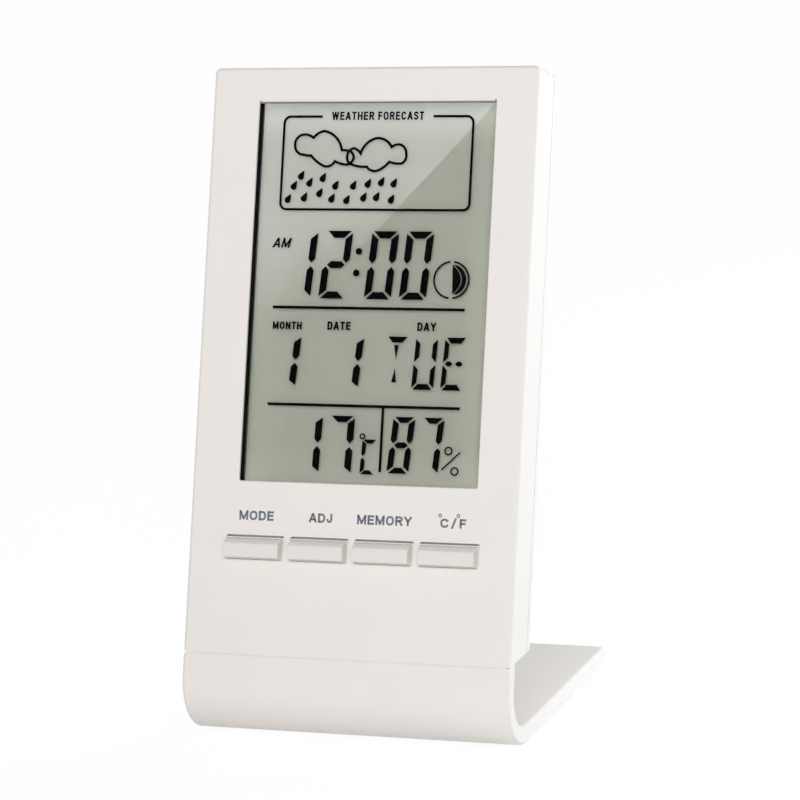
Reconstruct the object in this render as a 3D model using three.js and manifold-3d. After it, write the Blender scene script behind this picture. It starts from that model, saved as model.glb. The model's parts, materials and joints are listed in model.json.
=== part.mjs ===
// A table hygrometer with clock and calendar. A slim two-shell case holds a liquid crystal display
// over four keys, and stands reclined on a plate bent like the letter J.
// Millimetres, +Z up, the face looks towards -Y, the origin is under the middle of the object.
// Inside the case group X runs across, Y runs from the face towards the back and Z runs up the face.

import * as THREE from 'three';
import { mergeVertices } from 'three/addons/utils/BufferGeometryUtils.js';
import Module from 'manifold-3d';

const wasm = await Module();
wasm.setup();

// Case
const caseWidth = 72;
const caseHeight = 123.2; // up the face, from the seam over the stand to the top edge
const recline = 17.6; // degrees that the face leans back
const seamHeight = 18.7; // from the stand's underside up to the seam
const frontWall = 1.8;
const sideWall = 1.6;
const rearWall = 1.6;
const rearBand = 4.0; // depth of the rear shell's side band
const partingGap = 0.3; // the line seen between the two shells
const faceEdgeRadius = 0.9;
const rearEdgeRadius = 2.6;
const underEdgeRadius = 1.5; // rear edge of the case's underside
const cornerRadius = 1.2; // upper corners as seen from the front
const leastCorner = 0.2;
const rearCornerGrowth = 0.6; // growth of the corners' radius per millimetre drawn in at the back
const lipDepth = 1.5; // the rear shell's lip that locates it in the front shell
const lipWall = 0.8;
const fit = 0.3; // gap kept between pieces that seat on or in each other

// Stand
const plate = 3.9;
const bendRadius = 10.8; // outer radius of the bend
const footDepth = 66; // from the face at the seam to the foot's back edge
const noseRadius = 1.5; // foot's back edge
const bendSteps = 14;
const noseSteps = 4;
const standEdgeRadius = 0.8; // long edges down both sides
const tabWidth = 8.0;
const tabX = 16.0;
const tabHeight = 7.3; // up the face, above the seam
const tabRoot = 1.5; // how far a tab starts down in the plate
const tabCorner = 1.2;
const tabPinRadius = 1.1;
const tabPinUp = 4.3;
const padRadius = 4.0;
const padThickness = 1.0;
const padProud = 0.4; // how far a foot pad stands below the foot
const padInset = 8.0; // pad centre in from the plate's side edge
const padFrontInset = 17.0; // front pads back from the face at the seam
const padBackInset = 8.0; // rear pads in from the foot's back edge

// Display
const leftBorder = 10.55; // face between the case's left side and the window
const rightBorder = 8.95;
const topBorder = 6.9;
const windowBottom = 36.1; // above the seam, up the face
const windowCorner = 0.4;
const windowFillet = 0.3; // rounding of the window's front edge
const rimThickness = 0.6; // front wall left over the lens
const lensThickness = 0.8;
const lensMargin = 1.5;
const lensCorner = 0.8;
const gasketThickness = 1.0;
const gasketWidth = 1.6;
const polarizerThickness = 0.2;
const glassThickness = 0.7;
const reflectorThickness = 0.3;
const glassMargin = 0.9; // glass beyond the window on each side
const contactLedge = 2.3; // front glass beyond the rear glass, where the zebra strips press
const frameWall = 0.7;
const zebraWidth = 1.5;
const zebraInset = 2.0; // strip ends in from the glass edges

// Keys
const keyNames = ['mode', 'adjust', 'memory', 'unit'];
const keyRowMargin = 7.46; // face beside the row of keys
const keyRowOffset = 0.3; // middle of the key row, right of the middle
const keySpacing = 1.97; // face between two keys
const keyHeight = 4.15;
const keyBottom = 20.0; // above the seam
const keyProud = 2.5; // how far a key stands out of the face
const keySlope = 1.1; // how far its upper face falls away towards the front
const keyNose = 0.5; // rounding of its front edges
const keyEdge = 0.25; // rounding of its ends
const keyTopGap = 0.6; // open slot above a key
const slotCorner = 0.4;
const slotFillet = 0.2;
const keyFlange = 0.6;
const keyFlangeThickness = 0.8;
const keyStem = 0.4;
const keyStemWidth = 3.4;
const switchSize = 6.0;
const switchCorner = 0.6;
const switchFloor = 0.2;
const plungerRadius = 1.5;
const plungerReach = 0.7; // plunger beyond the switch body
const plungerLength = 2.0;

// Board and what it carries
const boardThickness = 1.2;
const boardClearance = 0.6; // behind the reflector
const boardScrewInset = 3.2; // in from the inside of the side walls
const boardScrewRise = 9.2; // lower pair above the board's lower edge
const boardScrewRadius = 0.8;
const boardScrewHead = 1.6;
const boardScrewHeadHeight = 1.2;
const boardBossRadius = 1.8;
const boardEar = 0.4; // board beyond its screw bosses
const boardEarCorner = 1.0;
const screwFloor = 0.8; // solid left under a screw hole
const blobRadius = 6.0;
const blobHeight = 1.5;
const blobDrop = 2.2; // below the window's middle
const crystalRadius = 1.0;
const crystalLength = 6.0;
const crystalX = -16.0;
const crystalRise = 3.8; // above the window's middle
const sensorWidth = 9.0;
const sensorHeight = 12.0;
const sensorThickness = 3.2;
const sensorCorner = 0.8;
const sensorWall = 1.4;
const sensorSlots = 5;
const sensorSlotPitch = 2.0;
const sensorSlotWidth = 1.0;
const sensorSlotDepth = 1.2;
const sensorX = 14.0;
const sensorDrop = 21.2; // below the case's top
const beadRadius = 1.3;
const beadStandOff = 1.9;
const beadX = 2.5;
const legRadius = 0.3;
const legPitch = 1.6;
const capacitorWidth = 2.0;
const capacitorDepth = 0.8;
const capacitorHeight = 1.2;
const capacitorOffsets = [[-20.0, 12.0], [-14.0, 12.0], [18.0, -28.0]]; // from the window's middle

// Shell screws
const shellScrewRadius = 0.85;
const shellScrewHead = 1.5;
const shellScrewHeadHeight = 1.3;
const shellScrewSink = 1.9; // depth of the counterbore in the rear face
const crossArm = 0.95;
const crossWidth = 0.44;
const crossDepth = 0.65;
const bossRadius = 2.0;
const rearBossRadius = 2.8;
const shellScrewInset = 2.8; // in from the inside of the side walls
const lowerScrewUp = 9.5;
const upperScrewDrop = 7.2; // below the case's top

// Battery bay and door
const cellRadius = 5.25; // the case is as deep as this cell needs
const cellLength = 44.5;
const cellEdge = 0.5;
const cellNubRadius = 1.9;
const cellNubLength = 0.8;
const cellUp = 12.0; // height of the cell's axis above the seam, up the face
const cellRoom = 0.4; // between the cell and the bay's ribs
const cellSlack = 0.1; // between the cell and the door, beyond the usual gap
const bayRib = 0.8;
const bayEndWall = 1.0;
const contactPlate = 0.4;
const contactHalf = 4.2; // half the width and height of a contact's face
const contactTailWidth = 2.0;
const contactTailRise = 2.2; // above the bay's upper rib
const springLength = 3.3;
const springTurns = 3.5;
const springWire = 0.3;
const springWide = 3.6; // radius of the coil at the contact
const springNarrow = 1.9; // radius of the coil at the cell
const doorThickness = 1.4;
const doorSeat = 0.7; // how far the door's ends lie over the bay's end walls
const doorUpperSeat = 0.3; // how far it lies beyond the bay's upper rib
const lugWidth = 6.0;
const lugX = 15.0;
const lugThickness = 0.6;
const lugDrop = 1.0;
const lugRoot = 1.3;
const lugSwing = 0.9; // room that a lug needs to turn in
const latchWidth = 8.0;
const latchThickness = 1.0;
const latchReach = 1.5; // how far the latch tongue goes in behind the door
const latchSetBack = 0.3; // below the door's upper edge, so that the tongue swings out past the wall
const thumbDepth = 0.8;
const gripCount = 5;
const gripPitch = 1.3;
const gripWidth = 0.6;
const gripDepth = 0.35;
const gripLength = 12.0;
const leadRadius = 0.45;
const leadBow = 0.4; // how far a lead bows back from a straight line
const batteryLeadRun = 5.0; // across, from a contact's tail to its solder point
const batteryLeadRise = 7.4;

// Openings in the rear shell
const ventCount = 8;
const ventPitch = 2.6;
const ventLength = 22.0;
const ventWidth = 1.3;
const soundX = -13.0;
const soundUp = 60.0;
const soundHoleRadius = 0.9;
const soundRingRadius = 4.2;
const soundHoles = 6;
const piezoRadius = 9.6;
const piezoThickness = 0.4;
const piezoSeatWall = 0.8;
const piezoSeatHeight = 0.9;
const soundLeadSpread = 2.0; // each lead beside the disc's middle
const soundLeadStart = 3.0; // below the disc's middle
const soundLeadDrop = 18.0; // solder points below the disc's middle

const roundSegments = 20;
const smallSegments = 12; // round forms under about 2 mm across
const wireSegments = 6;
const domeRings = 8;
const leadSteps = 12;
const springTurnSteps = 10;
const cornerSteps = 4; // steps of a small rounded corner
const edgeSteps = 6; // steps of the case's rounded edges
const bite = 0.1; // how deep two joined forms of one piece run into each other

// Values that follow from the sizes above
const lean = THREE.MathUtils.degToRad(recline);
const fall = Math.tan(lean); // rise of the level underside per millimetre of depth
const cellFront = frontWall + fit;
const cellAxis = cellFront + cellRadius;
const baySeat = cellAxis + cellRadius + cellSlack; // the ribs' edges that the door lies on
const doorInner = baySeat + fit;
const caseDepth = doorInner + doorThickness;
const parting = caseDepth - rearBand;
const innerSide = caseWidth / 2 - sideWall;
const innerTop = caseHeight - sideWall;
const innerRear = caseDepth - rearWall;
const windowWidth = caseWidth - leftBorder - rightBorder;
const windowOffset = (leftBorder - rightBorder) / 2;
const windowTop = caseHeight - topBorder;
const windowHeight = windowTop - windowBottom;
const windowMiddle = (windowBottom + windowTop) / 2;
const lensFront = rimThickness + fit;
const gasketFront = lensFront + lensThickness + fit;
const polarizerFront = gasketFront + gasketThickness + fit;
const frontGlass = polarizerFront + polarizerThickness + fit;
const rearGlass = frontGlass + glassThickness + fit;
const reflectorFront = rearGlass + glassThickness + fit;
const boardFront = reflectorFront + reflectorThickness + boardClearance;
const boardRear = boardFront + boardThickness;
const onBoard = boardRear + fit;
const glassHalfWidth = windowWidth / 2 + glassMargin;
const rearGlassHalfHeight = windowHeight / 2 + glassMargin;
const frontGlassHalfHeight = rearGlassHalfHeight + contactLedge;
const frameHalfWidth = glassHalfWidth + fit + frameWall;
const frameHalfHeight = frontGlassHalfHeight + fit + frameWall;
const keyPitch = (caseWidth - 2 * keyRowMargin) / keyNames.length;
const keyWidth = keyPitch - keySpacing;
const slotTop = keyBottom + keyHeight + keyTopGap;
const slotBottom = keyBottom - fit;
const keyMiddle = keyBottom + keyHeight / 2;
const flangeFront = frontWall + fit;
const flangeRear = flangeFront + keyFlangeThickness;
const plungerFront = flangeRear + keyStem + fit;
const switchFront = plungerFront + plungerReach;
const bossEnd = parting - lipDepth - fit;
const ribInnerLow = cellUp - cellRadius - cellRoom;
const ribInnerHigh = cellUp + cellRadius + cellRoom;
const bayTop = ribInnerHigh + bayRib;
const contactRoom = fit + contactPlate;
const bayHalf = (cellLength + springLength) / 2 + fit + contactRoom;
const doorHalf = bayHalf + doorSeat;
const doorTop = bayTop + doorUpperSeat;
const doorBottom = cellUp - cellRadius + fit;
const boardBottom = bayTop + fit;
const boardTop = windowMiddle + frameHalfHeight + fit;
const boardScrewUps = [boardBottom + boardScrewRise, windowMiddle];
const boardScrewX = innerSide - boardScrewInset;
const shellScrewX = innerSide - shellScrewInset;
const shellSeat = caseDepth - shellScrewSink + fit;
const sensorUp = caseHeight - sensorDrop;
const tabFront = frontWall + fit;
const piezoFront = innerRear - piezoSeatHeight - fit - piezoThickness;

// Materials
const plastic = (color, roughness) => new THREE.MeshStandardMaterial({ color, roughness, metalness: 0 });
const metal = (color, roughness) => new THREE.MeshStandardMaterial({ color, roughness, metalness: 1 });
const shellWhite = plastic('#eae8e4', 0.45);
const keyWhite = plastic('#e8e8e5', 0.4);
const clearLens = new THREE.MeshStandardMaterial({
  color: '#f4f8f6', roughness: 0.05, metalness: 0, transparent: true, opacity: 0.25,
});
const blackFoam = plastic('#0c0c0c', 0.9);
const displayGrey = plastic('#a2a696', 0.5);
const frameGrey = plastic('#c9cac4', 0.6);
const boardGreen = plastic('#1f5a35', 0.45);
const epoxyBlack = plastic('#111112', 0.35);
const rubberGrey = plastic('#3c3c3e', 0.85);
const switchBlack = plastic('#1b1b1c', 0.5);
const ceramicTan = plastic('#b79a6f', 0.6);
const sensorWhite = plastic('#dfe2e0', 0.5);
const nickel = metal('#c5c6c8', 0.35);
const brass = metal('#c8a75a', 0.35);
const cellSilver = metal('#b9bbc0', 0.3);
const leadRed = plastic('#a51c1c', 0.55);
const leadBlack = plastic('#161616', 0.55);

// Solids: closed meshes that manifold-3d can join and cut
function toSolid(geometry) {
  const bare = geometry.clone();
  bare.deleteAttribute('normal');
  bare.deleteAttribute('uv');
  const merged = mergeVertices(bare, 1e-4);
  const vertProperties = new Float32Array(merged.attributes.position.array);
  const triVerts = new Uint32Array(merged.index.array);
  return new wasm.Manifold(new wasm.Mesh({ numProp: 3, vertProperties, triVerts }));
}

function toGeometry(solid) {
  const mesh = solid.getMesh();
  const geometry = new THREE.BufferGeometry();
  geometry.setAttribute('position', new THREE.BufferAttribute(mesh.vertProperties, 3));
  geometry.setIndex(new THREE.BufferAttribute(mesh.triVerts, 1));
  geometry.computeVertexNormals();
  return geometry;
}

function joined(first, ...others) {
  return others.reduce((whole, piece) => whole.add(piece), first);
}

function cut(first, ...others) {
  return others.reduce((whole, piece) => whole.subtract(piece), first);
}

// A block between two values on each axis
function block([x0, x1], [y0, y1], [z0, z1]) {
  const box = new THREE.BoxGeometry(x1 - x0, y1 - y0, z1 - z0);
  box.translate((x0 + x1) / 2, (y0 + y1) / 2, (z0 + z1) / 2);
  return toSolid(box);
}

// A round bar whose axis runs from the face towards the back
function depthBar(radius, x, up, [y0, y1], segments = roundSegments) {
  const bar = new THREE.CylinderGeometry(radius, radius, y1 - y0, segments);
  bar.translate(x, (y0 + y1) / 2, up);
  return toSolid(bar);
}

// A profile drawn in depth and height, carried across in X
function acrossPrism(shape, [x0, x1], bevel = 0, bevelSegments = 3) {
  const across = new THREE.ExtrudeGeometry(shape, {
    depth: x1 - x0 - 2 * bevel,
    curveSegments: 3,
    bevelEnabled: bevel > 0,
    bevelThickness: bevel,
    bevelSize: bevel,
    bevelOffset: -bevel,
    bevelSegments,
  });
  const basis = new THREE.Matrix4().makeBasis(
    new THREE.Vector3(0, 1, 0), new THREE.Vector3(0, 0, 1), new THREE.Vector3(1, 0, 0));
  across.applyMatrix4(basis);
  across.translate(x0 + bevel, 0, 0);
  return toSolid(across);
}

function arc(centreX, centreY, radius, [from, to], steps) {
  return Array.from({ length: steps + 1 }, (unused, step) => {
    const angle = THREE.MathUtils.lerp(from, to, step / steps);
    return new THREE.Vector2(centreX + radius * Math.cos(angle), centreY + radius * Math.sin(angle));
  });
}

// A rectangle with rounded corners as seen from the front, anticlockwise from its lower right corner
function roundedPoints([x0, x1], [z0, z1], radius, steps = cornerSteps) {
  const quarter = Math.PI / 2;
  const r = Math.min(radius, (x1 - x0) / 2 - 0.01, (z1 - z0) / 2 - 0.01);
  return [
    ...arc(x1 - r, z0 + r, r, [-quarter, 0], steps),
    ...arc(x1 - r, z1 - r, r, [0, quarter], steps),
    ...arc(x0 + r, z1 - r, r, [quarter, 2 * quarter], steps),
    ...arc(x0 + r, z0 + r, r, [2 * quarter, 3 * quarter], steps),
  ];
}

function roundedRectangle(across, up, radius, steps) {
  return new THREE.Shape(roundedPoints(across, up, radius, steps));
}

// An outline seen from the front, given thickness from y0 back to y1
function faceSlab(shape, [y0, y1]) {
  const slab = new THREE.ExtrudeGeometry(shape, { depth: y1 - y0, bevelEnabled: false });
  const basis = new THREE.Matrix4().makeBasis(
    new THREE.Vector3(1, 0, 0), new THREE.Vector3(0, 0, 1), new THREE.Vector3(0, -1, 0));
  slab.applyMatrix4(basis);
  slab.translate(0, y1, 0);
  return toSolid(slab);
}

// Convex outlines with equal numbers of points, stacked from the face towards the back
function loft(rings) {
  const count = rings[0].length;
  const indices = [];
  for (let ring = 0; ring + 1 < rings.length; ring += 1) {
    for (let point = 0; point < count; point += 1) {
      const next = (point + 1) % count;
      const [a, b] = [ring * count + point, ring * count + next];
      indices.push(a, b + count, b, a, a + count, b + count);
    }
  }
  const last = (rings.length - 1) * count;
  for (let point = 1; point + 1 < count; point += 1) {
    indices.push(0, point, point + 1);
    indices.push(last, last + point + 1, last + point);
  }
  const geometry = new THREE.BufferGeometry().setFromPoints(rings.flat());
  geometry.setIndex(indices);
  return toSolid(geometry);
}

const atDepth = (points, depth) => points.map(({ x, y }) => new THREE.Vector3(x, depth, y));

// The cutter for an opening in the face whose front edge is rounded outwards
function faceOpening([x0, x1], [z0, z1], corner, fillet) {
  const rounding = arc(0, 0, fillet, [0, Math.PI / 2], cornerSteps);
  const stations = [[-1, fillet], ...rounding.map(({ x, y }) => [fillet - x, fillet - y]), [frontWall + 1, 0]];
  return loft(stations.map(([depth, outset]) => atDepth(roundedPoints(
    [x0 - outset, x1 + outset], [z0 - outset, z1 + outset], corner + outset), depth)));
}

// Case surface: rounded outlines stacked from the face to the back, drawn in at the rounded edges
function edgeDrawIn(depth, radius) {
  const past = depth - (caseDepth - radius);
  return past > 0 ? radius - Math.sqrt(Math.max(radius ** 2 - past ** 2, 0)) : 0;
}

function faceDrawIn(depth) {
  const before = faceEdgeRadius - depth;
  return before > 0 ? faceEdgeRadius - Math.sqrt(Math.max(faceEdgeRadius ** 2 - before ** 2, 0)) : 0;
}

function caseOutline(depth) {
  const front = faceDrawIn(depth);
  const rear = edgeDrawIn(depth, rearEdgeRadius);
  const half = caseWidth / 2 - front - rear;
  const top = caseHeight - front - rear;
  const bottom = depth * fall + edgeDrawIn(depth, underEdgeRadius);
  const corner = Math.max(cornerRadius - front, leastCorner) + rearCornerGrowth * rear;
  const points = [new THREE.Vector3(-half, depth, bottom), new THREE.Vector3(half, depth, bottom)];
  for (const side of [1, -1]) {
    for (let step = 0; step <= edgeSteps; step += 1) {
      const share = side > 0 ? step / edgeSteps : 1 - step / edgeSteps;
      const angle = (share * Math.PI) / 2;
      const x = side * (half - corner + corner * Math.cos(angle));
      points.push(new THREE.Vector3(x, depth, top - corner + corner * Math.sin(angle)));
    }
  }
  return points;
}

function roundedDepths(from, to) {
  const depths = [from, to];
  for (let step = 0; step <= edgeSteps; step += 1) {
    const angle = (step / edgeSteps) * (Math.PI / 2);
    depths.push(faceEdgeRadius * (1 - Math.cos(angle)));
    depths.push(caseDepth - rearEdgeRadius + rearEdgeRadius * Math.sin(angle));
  }
  depths.push(caseDepth - underEdgeRadius);
  const inside = depths.filter((depth) => depth >= from && depth <= to).sort((a, b) => a - b);
  return inside.filter((depth, index) => index === 0 || depth - inside[index - 1] > 1e-3);
}

const caseBody = (from, to) => loft(roundedDepths(from, to).map(caseOutline));

// The space inside the walls, between two depths
function caseHollow(from, to) {
  const shape = new THREE.Shape();
  const floor = (depth) => depth * fall + sideWall / Math.cos(lean);
  shape.moveTo(from, floor(from));
  shape.lineTo(to, floor(to));
  shape.lineTo(to, innerTop);
  shape.lineTo(from, innerTop);
  shape.closePath();
  return acrossPrism(shape, [-innerSide, innerSide]);
}

const shellScrewPlaces = [lowerScrewUp, caseHeight - upperScrewDrop].flatMap(
  (up) => [[-shellScrewX, up], [shellScrewX, up]]);
const boardScrewPlaces = boardScrewUps.flatMap((up) => [[-boardScrewX, up], [boardScrewX, up]]);
const keyX = keyNames.map((name, index) => keyRowOffset + (index - (keyNames.length - 1) / 2) * keyPitch);
const bothSides = [-1, 1];

// Front shell: window, lens rebate, key slots, bosses and the slots that the stand's tabs pass
function screwBoss(radius, boreRadius, [x, up], end) {
  const boss = depthBar(radius, x, up, [frontWall / 2, end]);
  const bore = depthBar(boreRadius, x, up, [frontWall + screwFloor, end + 1], smallSegments);
  return { boss, bore };
}

function frontShell() {
  const rearFace = parting - partingGap / 2;
  let shell = caseBody(0, rearFace).subtract(caseHollow(frontWall, rearFace + 1));
  const onBosses = boardFront - fit;
  const bosses = [
    ...shellScrewPlaces.map((at) => screwBoss(bossRadius, shellScrewRadius + fit, at, bossEnd)),
    ...boardScrewPlaces.map((at) => screwBoss(boardBossRadius, boardScrewRadius + fit, at, onBosses)),
  ];
  shell = joined(shell, ...bosses.map(({ boss }) => boss));
  shell = cut(shell, ...bosses.map(({ bore }) => bore));
  const windowSides = [windowOffset - windowWidth / 2, windowOffset + windowWidth / 2];
  shell = shell.subtract(faceOpening(windowSides, [windowBottom, windowTop], windowCorner, windowFillet));
  const rebate = lensMargin + fit;
  shell = shell.subtract(block(
    [windowSides[0] - rebate, windowSides[1] + rebate],
    [rimThickness, frontWall + 1],
    [windowBottom - rebate, windowTop + rebate]));
  for (const x of keyX) {
    const sides = [x - keyWidth / 2 - fit, x + keyWidth / 2 + fit];
    shell = shell.subtract(faceOpening(sides, [slotBottom, slotTop], slotCorner, slotFillet));
  }
  for (const side of bothSides) {
    const middle = side * tabX;
    shell = shell.subtract(block(
      [middle - tabWidth / 2 - fit, middle + tabWidth / 2 + fit],
      [frontWall, plate + fit],
      [-1, tabHeight + fit]));
    shell = shell.add(depthBar(tabPinRadius, middle, tabPinUp, [frontWall / 2, plate]));
  }
  return shell;
}

// Rear shell: bay ribs for the cell, door opening, screw bosses, vents and sound holes
function bayWalls() {
  const ends = [-bayHalf - bayEndWall, bayHalf + bayEndWall];
  const low = ribInnerLow - bayRib;
  const rear = innerRear + bite;
  return joined(
    block(ends, [plate + fit, rear], [low, ribInnerLow]),
    block(ends, [cellFront, rear], [ribInnerHigh, bayTop]),
    block([ends[0], -bayHalf], [cellFront, rear], [low, bayTop]),
    block([bayHalf, ends[1]], [cellFront, rear], [low, bayTop]));
}

function ventSlots() {
  const middle = (sensorX + beadX) / 2;
  return Array.from({ length: ventCount }, (unused, index) => {
    const up = sensorUp + (index - (ventCount - 1) / 2) * ventPitch;
    const slot = roundedRectangle(
      [middle - ventLength / 2, middle + ventLength / 2], [up - ventWidth / 2, up + ventWidth / 2],
      ventWidth / 2);
    return faceSlab(slot, [innerRear - 1, caseDepth + 1]);
  });
}

function soundOpenings() {
  const through = [innerRear - 1, caseDepth + 1];
  const ring = Array.from({ length: soundHoles }, (unused, index) => {
    const angle = (index / soundHoles) * 2 * Math.PI;
    return [soundX + soundRingRadius * Math.cos(angle), soundUp + soundRingRadius * Math.sin(angle)];
  });
  return [[soundX, soundUp], ...ring].map(
    ([x, up]) => depthBar(soundHoleRadius, x, up, through, smallSegments));
}

// Band inside the side and top walls, which runs on forwards as the locating lip
function innerBand(half, top, span) {
  const floor = lowerScrewUp - rearBossRadius;
  const inner = innerSide - fit - lipWall;
  const innerCeiling = innerTop - fit - lipWall;
  return block([-half, half], span, [floor, top]).subtract(
    block([-inner, inner], [0, caseDepth + 1], [floor - 1, innerCeiling]));
}

function rearBoss([x, up], frontFace) {
  const half = innerSide - fit;
  const boss = depthBar(rearBossRadius, x, up, [bossEnd, caseDepth]);
  const inFront = block([-half, half], [bossEnd + fit, frontFace + bite], [0, innerTop - fit]);
  const behind = block([-caseWidth / 2, caseWidth / 2], [frontFace, innerRear + bite], [0, caseHeight]);
  return joined(boss.intersect(inFront), boss.intersect(behind));
}

// What the door needs: its opening, room for hooks and latch tongue, and a thumb recess
function doorCuts() {
  const opening = block(
    [-doorHalf - fit, doorHalf + fit], [baySeat, caseDepth + 1], [doorBottom - fit, doorTop + fit]);
  const cell = block([-bayHalf, bayHalf], [0, caseDepth], [ribInnerLow, ribInnerHigh]);
  const hooks = bothSides.map((side) => {
    const half = lugWidth / 2 + 2 * fit;
    return block(
      [side * lugX - half, side * lugX + half], [baySeat - lugThickness - lugSwing, innerRear],
      [doorBottom - lugDrop - fit, ribInnerLow + 1]);
  });
  const tails = bothSides.map((side) => {
    const ends = [side * bayHalf, side * (bayHalf - contactRoom)].sort((a, b) => a - b);
    return block(ends, [onBoard, baySeat + 1], [ribInnerHigh - 1, bayTop + 1]);
  });
  const latchHalf = latchWidth / 2 + 2 * fit;
  const latch = block(
    [-latchHalf, latchHalf], [doorInner - latchReach - 2 * fit, innerRear],
    [ribInnerHigh - 1, doorTop + fit]);
  const thumb = depthBar(latchHalf, 0, doorTop + fit, [caseDepth - thumbDepth, caseDepth + 1]);
  return [opening, cell, ...hooks, ...tails, latch, thumb];
}

function rearShell() {
  const frontFace = parting + partingGap / 2;
  const shell = caseBody(frontFace, caseDepth).subtract(caseHollow(frontFace - 1, innerRear));
  const band = innerBand(innerSide + bite, innerTop + bite, [frontFace, innerRear + bite]);
  const lip = innerBand(innerSide - fit, innerTop - fit, [parting - lipDepth, frontFace + bite]);
  const seat = depthBar(piezoRadius, soundX, soundUp, [innerRear - piezoSeatHeight, innerRear + bite])
    .subtract(depthBar(piezoRadius - piezoSeatWall, soundX, soundUp, [0, innerRear]));
  const bosses = shellScrewPlaces.map((at) => rearBoss(at, frontFace));
  const bores = shellScrewPlaces.map(([x, up]) => joined(
    depthBar(shellScrewRadius + fit, x, up, [bossEnd, caseDepth], smallSegments),
    depthBar(shellScrewHead + fit, x, up, [caseDepth - shellScrewSink, caseDepth + 1])));
  const whole = joined(shell, band, lip, seat, bayWalls(), ...bosses);
  return cut(whole, ...bores, ...ventSlots(), ...soundOpenings(), ...doorCuts());
}

// Battery door: plate, two hook lugs below, latch tongue above and grip ridges
function batteryDoor() {
  const hookSpan = [baySeat - lugThickness - fit, baySeat - fit];
  const hooks = bothSides.flatMap((side) => {
    const span = [side * lugX - lugWidth / 2, side * lugX + lugWidth / 2];
    return [
      block(span, hookSpan, [doorBottom - lugDrop, doorBottom + lugRoot]),
      block(span, [hookSpan[1] - bite, doorInner + bite], [doorBottom, doorBottom + lugRoot]),
    ];
  });
  const tongueTop = doorTop - latchSetBack;
  const tongue = block(
    [-latchWidth / 2, latchWidth / 2], [doorInner - latchReach, doorInner + bite],
    [tongueTop - latchThickness, tongueTop]);
  const gripSpan = [caseDepth - gripDepth, caseDepth + 1];
  const grips = Array.from({ length: gripCount }, (unused, index) => {
    const up = doorTop - (index + 1) * gripPitch;
    return block([-gripLength / 2, gripLength / 2], gripSpan, [up - gripWidth, up]);
  });
  const panel = block([-doorHalf, doorHalf], [doorInner, caseDepth], [doorBottom, doorTop]);
  return cut(joined(panel, ...hooks, tongue), ...grips);
}

// Stand: the face plane runs on down into the bend and back along the floor
function standProfile() {
  const sin = Math.sin(lean);
  const cos = Math.cos(lean);
  const centreY = (bendRadius + (bendRadius - seamHeight) * sin) / cos;
  const top = seamHeight - fit;
  const onFace = (depth, height) => (depth + (height - seamHeight) * sin) / cos;
  const start = Math.PI - lean;
  const noseY = footDepth - noseRadius;
  const points = [
    new THREE.Vector2(onFace(0, top), top),
    ...arc(centreY, bendRadius, bendRadius, [start, 1.5 * Math.PI], bendSteps),
    ...arc(noseY, noseRadius, noseRadius, [-Math.PI / 2, 0], noseSteps),
    ...arc(noseY, plate - noseRadius, noseRadius, [0, Math.PI / 2], noseSteps),
    ...arc(centreY, bendRadius, bendRadius - plate, [1.5 * Math.PI, start], bendSteps),
    new THREE.Vector2(onFace(plate, top), top),
  ];
  return { shape: new THREE.Shape(points), front: centreY - bendRadius };
}

const padPlaces = bothSides.flatMap((side) => {
  const x = side * (caseWidth / 2 - padInset);
  return [[x, padFrontInset], [x, footDepth - padBackInset]];
});

function upright(radius, x, y, [z0, z1]) {
  const bar = new THREE.CylinderGeometry(radius, radius, z1 - z0, roundSegments);
  bar.rotateX(Math.PI / 2);
  bar.translate(x, y, (z0 + z1) / 2);
  return toSolid(bar);
}

function standBody(caseMatrix) {
  const bent = acrossPrism(standProfile().shape, [-caseWidth / 2, caseWidth / 2], standEdgeRadius);
  const tabs = bothSides.map((side) => {
    const middle = side * tabX;
    const outline = roundedRectangle(
      [middle - tabWidth / 2, middle + tabWidth / 2], [-tabRoot, tabHeight], tabCorner);
    const hole = depthBar(tabPinRadius + fit, middle, tabPinUp, [0, caseDepth], smallSegments);
    return faceSlab(outline, [tabFront, plate]).subtract(hole).transform(caseMatrix.elements);
  });
  const recess = padThickness - padProud + fit;
  const recesses = padPlaces.map(([x, y]) => upright(padRadius + fit, x, y, [-1, recess]));
  return cut(joined(bent, ...tabs), ...recesses);
}

// Display: lens, gasket, glass sandwich, reflector and the frame round them
function windowSlab(margin, corner, span) {
  const half = windowWidth / 2 + margin;
  const halfUp = windowHeight / 2 + margin;
  return faceSlab(roundedRectangle([-half, half], [-halfUp, halfUp], corner), span);
}

function gasketRing() {
  return windowSlab(gasketWidth, lensCorner, [0, gasketThickness]).subtract(
    windowSlab(0, windowCorner, [-1, gasketThickness + 1]));
}

function displaySlab(halfHeight, thickness) {
  return block([-glassHalfWidth, glassHalfWidth], [0, thickness], [-halfHeight, halfHeight]);
}

function displayFrame() {
  const depth = boardFront - fit - polarizerFront;
  const room = glassHalfWidth + fit;
  const outer = block([-frameHalfWidth, frameHalfWidth], [0, depth], [-frameHalfHeight, frameHalfHeight]);
  const high = frontGlassHalfHeight + fit;
  return outer.subtract(block([-room, room], [-1, depth + 1], [-high, high]));
}

function zebraStrip() {
  const half = glassHalfWidth - zebraInset;
  return block([-half, half], [rearGlass, boardFront - fit], [-zebraWidth / 2, zebraWidth / 2]);
}

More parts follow.
